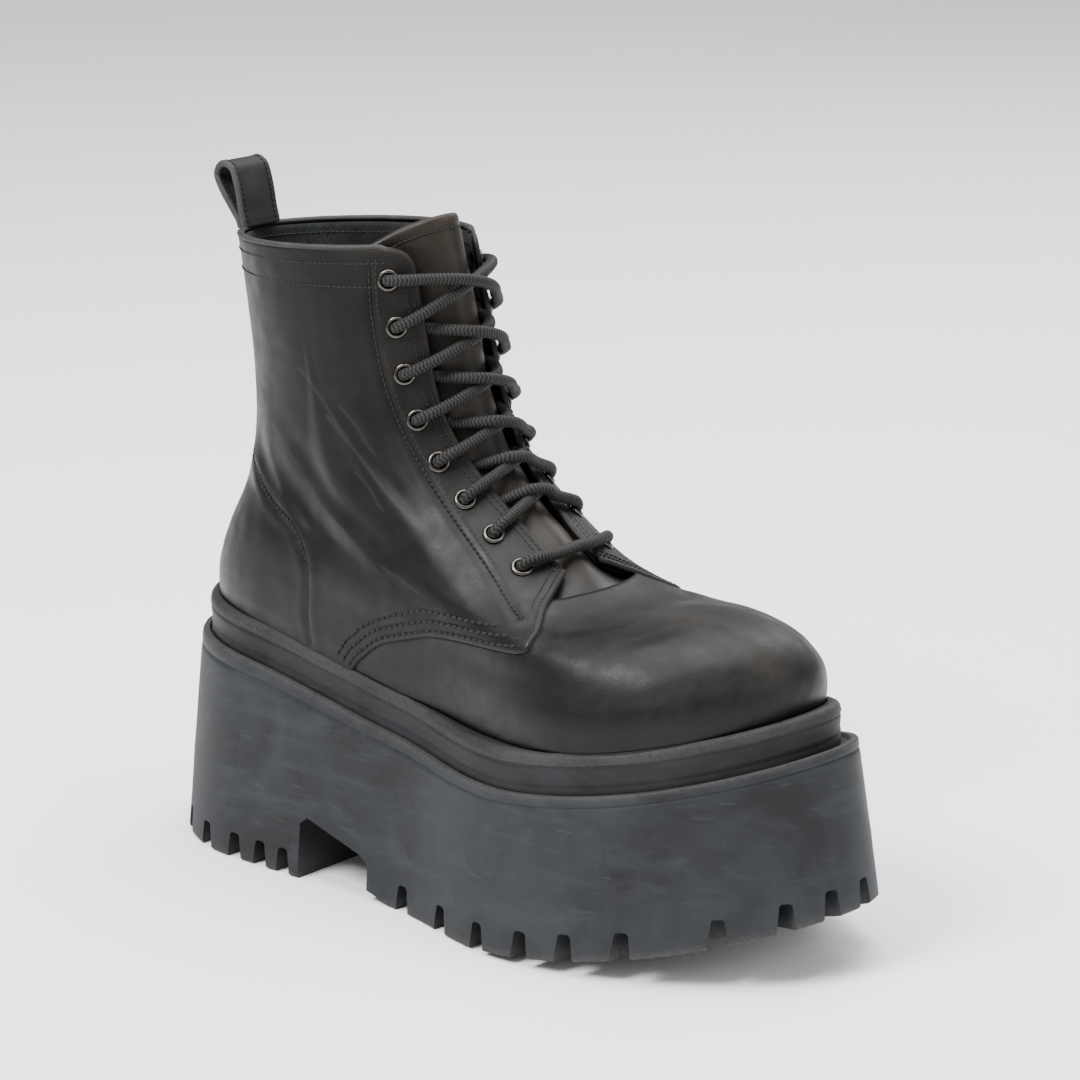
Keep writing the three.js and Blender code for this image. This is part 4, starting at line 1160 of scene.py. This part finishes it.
def make_welt():
    foot, bulge, crown = (inset(TOP_EDGE, 3.3, 6.2), inset(TOP_EDGE, 3.2, 6.6), inset(TOP_EDGE, 4.6, 8.4))

    def row(section, rise, push=0.0):
        return sole_ring(inset(section, -push), lambda x: platform_top(x) + rise)

    rows = [row(foot, -0.85), row(foot, 1.2), row(foot, 1.9, -0.3), row(foot, 2.6, -0.3), row(foot, 3.3)]
    for rise in (4.4, 5.6, 6.8, 8.0):
        rows.append(row(blend(foot, bulge, rise / 8.4), rise, 0.15 * math.sin(rise)))
    rows += [row(bulge, 8.7, 0.1), row(bulge, 9.1, -0.15), row(bulge, 9.6, -0.18), row(bulge, 10.0, 0.3),
             row(blend(bulge, crown, 0.45), 11.0, 0.85), row(blend(bulge, crown, 0.75), 12.2, 1.0),
             row(blend(bulge, crown, 0.95), 13.2, 0.6), row(crown, 13.9, -0.4)]
    ridge_rows = set(range(len(rows) - 6, len(rows)))
    for level, drop in ((1.0, 0.2), (0.9, 1.6), (0.0, None)):
        points = shell(np.full(len(TURN), level), TURN, np.full(len(TURN), 0.3))
        points[:, 2] = platform_top(points[:, 0]) + (WELT_HEIGHT - drop if drop is not None else -0.85)
        rows.append(points)
    rings = np.array(rows)
    rings[1:-2] += 0.14 * ripple(rings[1:-2], 26, 95)[..., None] * np.array([1.0, 1.0, 0.4])
    faces = grid_faces(len(rows), len(TURN), closed_columns=True, closed_rows=True)
    rub = np.zeros(rings.shape[:2])
    for r in ridge_rows:
        rub[r] = 0.3
    rub *= np.clip(0.8 + 0.6 * ripple(rings, 30, 97), 0.25, 1.1)
    obj = solid("welt_band", rings.reshape(-1, 3), faces, welt_rubber, "rubber", ["welt"],
                {"rub": np.clip(rub, 0, 1)})
    sharpen(obj, 50)


def make_insole():
    count = 240
    angle = np.linspace(0, 2 * math.pi, count, endpoint=False)
    edge = shell(np.zeros(count), angle, np.full(count, -2.9))
    centre = edge.copy()
    centre[:, 1] = middle_line(edge[:, 0], 1)
    rows = []
    for share, rise in ((1.0, 0.0), (1.0, 3.4), (0.985, 4.0), (0.93, 4.1), (0.8, 3.8), (0.6, 3.5),
                        (0.4, 3.4), (0.2, 3.3), (0.02, 3.3)):
        ring = centre + (edge - centre) * [1, share, 1]
        ring[:, 2] = platform_top(ring[:, 0]) - 0.85 + rise
        rows.append(ring)
    rows.insert(0, centre + (edge - centre) * [1, 0.02, 1])
    rows[0][:, 2] = platform_top(rows[0][:, 0]) - 0.85
    rings = np.array(rows)
    rings[3:, :, 2] += 0.15 * ripple(rings[3:], 40, 99)
    faces = grid_faces(len(rows), count, closed_columns=True, closed_rows=True)
    solid("insole_sock", rings.reshape(-1, 3), faces, sock_cloth, "lining", ["insole"])


# ---------------------------------------------------------------- tongue
def tongue_depth(level, turn):
    rise = smooth(level, THROAT + 0.15, THROAT + 1.3)
    crest = lerp(WALL + 0.8, 0.6, rise)
    side = lerp(WALL + 0.8, WALL + 4.8, rise)
    lean = 0.5 * np.clip((level - 15) / (COLLAR - 15), 0, 2) ** 2
    return lerp(crest, side, smooth(np.abs(turn), 0, TONGUE_TURN * 0.62)) + lean


def front_point(level, turn, height):
    angle = nose_angle(level, turn)
    return surface(level, angle) + normal(np.minimum(level, COLLAR), angle) * np.asarray(height)[..., None]


def make_tongue():
    rows, columns = TONGUE_ROWS, TONGUE_COLUMNS
    across = np.linspace(-1, 1, columns)
    across = np.sign(across) * (1 - (1 - np.abs(across)) ** 1.15)
    share = 1 - (1 - np.linspace(0, 1, rows)) ** 1.15
    top = COLLAR + lerp(0.32, -0.1, across ** 2)
    level = 8.9 + (top[None] - 8.9) * share[:, None]
    turn = np.repeat(across[None] * TONGUE_TURN, rows, 0)
    depth = tongue_depth(level, turn)
    here = front_point(level, turn, -depth)
    side_gap = (1 - np.abs(across))[None] * TONGUE_TURN * 36
    top_gap = (top[None] - level) * 24
    edge = np.minimum(side_gap, top_gap)
    roll = 1.0 * (1 - np.sqrt(np.clip(1 - np.clip(1 - edge / 1.6, 0, 1) ** 2, 0, 1)))
    folds = 0.35 * np.sin(level * 5.2 + 1.4 * np.cos(turn * 2.5))
    folds = folds * smooth(level, 9.5, 11) * smooth(level, 15.4, 13.5)
    stitched = 0.3 * np.exp(-((edge - 4.0) / 0.8) ** 2)
    soft = 0.35 * ripple(here, 26, 101) + 0.1 * ripple(here, 8, 103)
    height = -depth - roll - stitched + (folds + soft) * smooth(edge, 0, 8)
    outer = front_point(level, turn, height)
    inner = front_point(level, turn, np.minimum(height, -depth) - TONGUE_THICKNESS + 0.6 * roll)
    points, faces = sheet(outer, inner)
    # Painted highlight along the tongue's crest, weaker on the inner face; rubbed wear along the rolled
    # edges.
    rub = 0.9 * np.exp(-(turn / 0.5) ** 2) * smooth(level, 9.6, 11.0) * (0.75 + 0.4 * ripple(here, 22, 105))
    rub += 0.6 * np.exp(-(edge / 2.0) ** 2)
    rub = np.clip(rub, 0, 1)
    solid("tongue_sheet", points, faces, tongue_leather, "leather", ["tongue"],
                     {"rub": np.r_[rub.ravel(), 0.3 * rub.ravel()]})
    for sign in (-1, 1):
        levels = np.linspace(10.2, 15.75, 200)
        turns = np.full(len(levels), sign * 0.93)
        depths = tongue_depth(levels, turns)
        up = normal(levels, nose_angle(levels, turns))
        fine_stitches.add(front_point(levels, turns, -depths), up, **TINY)
    turns = np.linspace(-0.9, 0.9, 120)
    levels = COLLAR + lerp(0.32, -0.1, (turns / TONGUE_TURN) ** 2) - 0.17
    depths = tongue_depth(levels, turns)
    up = normal(levels, nose_angle(levels, turns))
    fine_stitches.add(front_point(levels, turns, -depths + 0.05), up, **TINY)


# ---------------------------------------------------------------- eyelets and laces
def eyelet_frame(level, side):
    angle = float(nose_angle(np.array(level), side * eyelet_turn(level)))
    return surface(level, angle), normal(level, angle), angle


def panel_lift(level):
    return 0.9 * float(smooth(level, 13.5, 8.5))


def make_eyelets():
    profile = [(2.35, -2.0), (2.8, -2.0), (2.85, 0.1), (3.78, 0.12), (3.86, 0.35), (3.72, 0.75),
               (3.4, 1.02), (3.0, 1.1), (2.65, 1.0), (2.42, 0.72), (2.35, 0.3)]
    points, faces, rub = [], [], []
    sides = 48
    for level in EYELETS:
        for side in (-1, 1):
            centre, up, _ = eyelet_frame(level, side)
            centre = centre + up * panel_lift(level)
            across = np.cross(up, [0, 0, 1.0])
            across /= np.linalg.norm(across)
            other = np.cross(up, across)
            start = len(points)
            for k in range(sides):
                a = 2 * math.pi * k / sides
                out = across * math.cos(a) + other * math.sin(a)
                for radius, height in profile:
                    points.append(centre + out * radius + up * height)
                    rub.append(0.9 if height > 0.6 else 0.15)
            faces += grid_faces(sides, len(profile), closed_columns=True, closed_rows=True, start=start)
    names = [f"eyelet_{word}_{i}" for word in ("lateral", "medial") for i in range(1, 9)]
    solid("eyelet_rings", points, faces, eyelet_metal, "metal", names, {"rub": rub})


LACE_STEP = 0.36
LACE_SIDES = 20
LACE_RADIUS = 2.04


def lace_route():
    """The middle line of one lace with its surface normal, as pieces that end in the top eyelets."""
    edge = {i + 1: float(edge_turn(l)) for i, l in enumerate(EYELETS)}
    hole = {i + 1: float(eyelet_turn(l)) for i, l in enumerate(EYELETS)}
    level = {i + 1: l for i, l in enumerate(EYELETS)}

    def leg(start, finish, side, over, tucked):
        """Knots of level, turn and height from an eyelet to the far one."""
        knots = [(level[start], side * hole[start], -1.2), (level[start], side * hole[start], 1.3)]
        a, b = side * hole[start], -side * hole[finish]
        for share in (0.07, 0.14, 0.22, 0.32, 0.42, 0.5, 0.58, 0.68, 0.78, 0.86, 0.93):
            turn = lerp(a, b, share)
            lev = lerp(level[start], level[finish], share) + 0.2 * math.sin(math.pi * share)
            past = abs(turn) > edge[finish if turn * side < 0 else start]
            behind = turn * side < 0
            if past and behind and tucked:
                height = -3.7
            elif past:
                height = 3.1 if tucked or not behind else 3.3
            else:
                rest = -tongue_depth(lev, turn) + 2.4
                near = abs(turn) / edge[start]
                middle, side_height = 5.6 if over else 2.6, -2.4 if behind and tucked else 2.9
                height = lerp(middle, side_height, float(smooth(near, 0.25, 1.0)))
                height = max(height, float(rest))
            if behind and tucked and not past and abs(turn) > 0.82 * edge[finish]:
                height = min(height, -1.4)
            knots.append((lev, turn, float(height)))
        if tucked:
            knots.append((level[finish], -side * hole[finish], -3.4))
            knots.append((level[finish], -side * hole[finish], -1.6))
        else:
            knots.append((level[finish], -side * hole[finish], 1.3))
            knots.append((level[finish], -side * hole[finish], -1.2))
        return knots

    def hidden(start, finish, side):
        a, b = level[start], level[finish]
        return [(lerp(a, b, s), side * lerp(hole[start], hole[finish], s), -4.6) for s in (0.15, 0.5, 0.85)]

    runs = []
    for first in (-1, 1):
        side = first
        knots = []
        for t in (0.0, 0.3, 0.6, 0.85):
            knots.append((lerp(level[8], level[8] + 0.12, 1 - t), side * hole[8] * t, 2.6 + 0.7 * t))
        knots += [(level[8], side * hole[8], 1.3), (level[8], side * hole[8], -2.0)]
        knots += hidden(8, 7, side)
        for pair in range(7, 1, -1):
            knots += leg(pair, pair - 1, side, side > 0, pair > 2)
            side = -side
        runs.append(np.array(knots))
    out = []
    for knots in runs:
        curve = spline(knots, 14)
        angle = nose_angle(curve[:, 0], curve[:, 1])
        lift = 0.9 * smooth(curve[:, 0], 13.5, 8.5) * smooth(np.abs(curve[:, 1]), 0.2, 0.5)
        points = surface(curve[:, 0], angle) + normal(curve[:, 0], angle) * (curve[:, 2] + lift)[:, None]
        out.append((points, normal(curve[:, 0], angle)))
    points = np.vstack([out[0][0][::-1], out[1][0][1:]])
    ups = np.vstack([out[0][1][::-1], out[1][1][1:]])
    return points, ups


def make_lace():
    points, ups = lace_route()
    both = resample(np.hstack([points, ups]), LACE_STEP)
    line = both[:, :3]
    for _ in range(6):
        line[1:-1] = 0.5 * line[1:-1] + 0.25 * (line[:-2] + line[2:])
    length = float(np.linalg.norm(np.diff(line, axis=0), axis=1).sum())
    _, up, side = frames(line, both[:, 3:])
    a = np.linspace(0, 2 * math.pi, LACE_SIDES, endpoint=False)
    along = np.arange(len(line)) * LACE_STEP
    zigzag = np.abs(((a / (2 * math.pi) * 4) % 1) - 0.5) * 2
    weave = np.sin(2 * math.pi * (along[:, None] / LACE_PITCH + zigzag[None] * 1.2))
    radius = LACE_RADIUS + 0.08 * weave - 0.10 * (np.abs(zigzag - 0.5)[None] > 0.45)
    ring = line[:, None] + radius[..., None] * (side[:, None] * np.cos(a)[None, :, None]
                                                + up[:, None] * np.sin(a)[None, :, None])
    lengthwise = (along / (LACE_PITCH * LACE_LENGTH_UNITS))[:, None]
    uv = np.stack(np.broadcast_arrays(lengthwise, (a / (2 * math.pi))[None]), -1)
    names = ["lace_bar"] + [f"lace_crossing_{i}" for i in range(2, 8)]
    solid("lace", ring.reshape(-1, 3), tube_faces(len(line), LACE_SIDES), lace_material, "lace", names,
                      uv=uv.reshape(-1, 2))
    print("lace length mm", round(length, 1))


# ---------------------------------------------------------------- pull loop
LOOP_LINE = [(1.3, 1), (0.4, 2.8), (-1.7, 5.7), (-5.0, 9.9), (-8.3, 14.6), (-9.8, 18.4),
             (-8.4, 21.4), (-5.6, 22.5), (-2.4, 20.9), (-0.7, 17), (0.7, 11.8),
             (1.7, 6.3), (2.6, 2.8), (3.2, 1)]


def make_loop():
    rim = surface(COLLAR, 0.0)
    line = np.array([(x, 0, z) for x, z in LOOP_LINE], float)
    line[0, 2], line[-1, 2] = 0.2, 0.2
    line = resample(spline(line, 14), 0.6) + rim
    ahead = np.gradient(line, axis=0)
    out = np.stack([-ahead[:, 2], np.zeros(len(line)), ahead[:, 0]], 1)
    out /= np.linalg.norm(out, axis=1, keepdims=True)
    half, thick = 9.5, 1.0
    profile = []
    for y in np.linspace(-half, half, 41):
        edge = half - abs(y)
        bead = 0.28 * math.exp(-((edge - 1.0) / 0.7) ** 2) - 0.2 * math.exp(-((edge - 2.3) / 0.5) ** 2)
        profile.append((y, (thick + bead) * math.sqrt(max(1 - max(1 - edge / 0.9, 0) ** 2, 0.02))))
    profile = profile + [(y, -h) for y, h in reversed(profile)]
    profile = np.array(profile)
    side = np.array([0, 1.0, 0])
    rings = line[:, None] + side * profile[None, :, :1] + out[:, None] * profile[None, :, 1:]
    rings += 0.12 * ripple(rings, 12, 111)[..., None] * out[:, None]
    edge = half - np.abs(profile[:, 0])
    rub = np.repeat(np.exp(-(edge / 1.3) ** 2)[None], len(line), 0) + 0.3 * ripple(rings, 10, 113)
    rub = np.clip(rub, 0, 1)
    solid("pull_loop_strap", rings.reshape(-1, 3), tube_faces(len(line), len(profile)), loop_leather,
                      "leather", ["pull_loop"], {"rub": rub})
    for sign in (-1, 1):
        for face in (-1, 1):
            rows = line[4:-4] + side * sign * (half - 2.3)
            fine_stitches.add(rows + out[4:-4] * face * thick, out[4:-4] * face, **TINY)


make_outsole()
make_welt()
make_insole()
make_tongue()
make_eyelets()
make_lace()
make_loop()
fine_stitches.make("stitches_fine", stitch_thread, "leather")
heavy_stitches.make("stitches_heavy", heavy_thread, "leather")


# ---------------------------------------------------------------- floor, light and camera
def flat_stage():
    """A plain floor, the same from every side."""
    mesh = bpy.data.meshes.new("floor")
    corners = [(x * FLOOR_REACH, y * FLOOR_REACH, 0) for x, y in ((-1, -1), (1, -1), (1, 1), (-1, 1))]
    mesh.from_pydata(corners, [], [(0, 1, 2, 3)])
    mesh.update()
    floor = bpy.data.objects.new("floor", mesh)
    bpy.context.scene.collection.objects.link(floor)
    material, tree, shader = material_of("floor_paper")
    where = node(tree, "ShaderNodeTexCoord").outputs["Object"]
    tree.links.new(mix_colour(tree, noise(tree, where, 6.0), (0.9, 0.9, 0.9), (0.93, 0.93, 0.93)),
                   shader.inputs["Base Color"])
    shader.inputs["Roughness"].default_value = 0.9
    shader.inputs["Specular IOR Level"].default_value = 0.1
    mesh.materials.append(material)


def softbox(name, place, size, power):
    lamp = bpy.data.lights.new(name, "AREA")
    lamp.shape = "RECTANGLE"
    lamp.size, lamp.size_y = size
    lamp.energy = power
    obj = bpy.data.objects.new(name, lamp)
    bpy.context.scene.collection.objects.link(obj)
    obj.location = place
    obj.rotation_euler = (Vector(LAMP_TARGET) - Vector(place)).to_track_quat("-Z", "Y").to_euler()


FLOOR_REACH = 30.0

# Lamps: name, place to the view's right, towards the camera and up, size in metres, and power in watts.
LAMPS = [
    ("key", (-0.9, 0.7, 1.5), (0.7, 0.7), 52),
    ("top", (0.1, -0.1, 1.9), (1.4, 1.4), 60),
    ("fill", (1.4, 0.9, 0.9), (1.0, 1.2), 12),
    ("rim", (0.9, -1.2, 1.2), (0.9, 0.9), 14),
]
WORLD_STRENGTH = 0.65
LAMP_TARGET = (0.0, 0.0, 0.11)

# The camera's turn and rise in radians, the middle of its view in millimetres, its distance and focal length.
CAMERA_TURN = 0.6896823883370162
CAMERA_RISE = 0.2617207671130984
VIEW_RIGHT = 8.94
VIEW_HEIGHT = 124.696
CAMERA_DISTANCE = 1400
SENSOR_WIDTH = 36.0
LENS = 135.50187
RIGHT = np.array([math.cos(CAMERA_TURN), math.sin(CAMERA_TURN), 0])
LEVEL_SHARE = math.cos(CAMERA_RISE)
BACK = np.array([math.sin(CAMERA_TURN) * LEVEL_SHARE, -math.cos(CAMERA_TURN) * LEVEL_SHARE,
                 math.sin(CAMERA_RISE)])
EYE = RIGHT * VIEW_RIGHT + np.array([0, CENTRE_Y, VIEW_HEIGHT]) + BACK * CAMERA_DISTANCE


def seen(right, back, up):
    """A place in metres given along the view's right, towards the camera, and up."""
    flat = np.array([BACK[0], BACK[1], 0]) / np.linalg.norm(BACK[:2])
    return tuple(RIGHT * right + flat * back + np.array([0, 0, up]))


flat_stage()
for name, place, size, power in LAMPS:
    softbox(name, seen(*place), size, power)
world = bpy.data.worlds.new("studio")
world.use_nodes = True
world.node_tree.nodes["Background"].inputs[0].default_value = (0.95, 0.97, 1.0, 1.0)
world.node_tree.nodes["Background"].inputs[1].default_value = WORLD_STRENGTH
bpy.context.scene.world = world

camera_data = bpy.data.cameras.new("camera")
camera_data.sensor_width = SENSOR_WIDTH
camera_data.lens = LENS
camera_data.clip_end = 20.0
camera = bpy.data.objects.new("camera", camera_data)
bpy.context.scene.collection.objects.link(camera)
camera.location = tuple(EYE * 0.001)
camera.rotation_euler = Vector(tuple(-BACK)).to_track_quat("-Z", "Y").to_euler()
bpy.context.scene.camera = camera
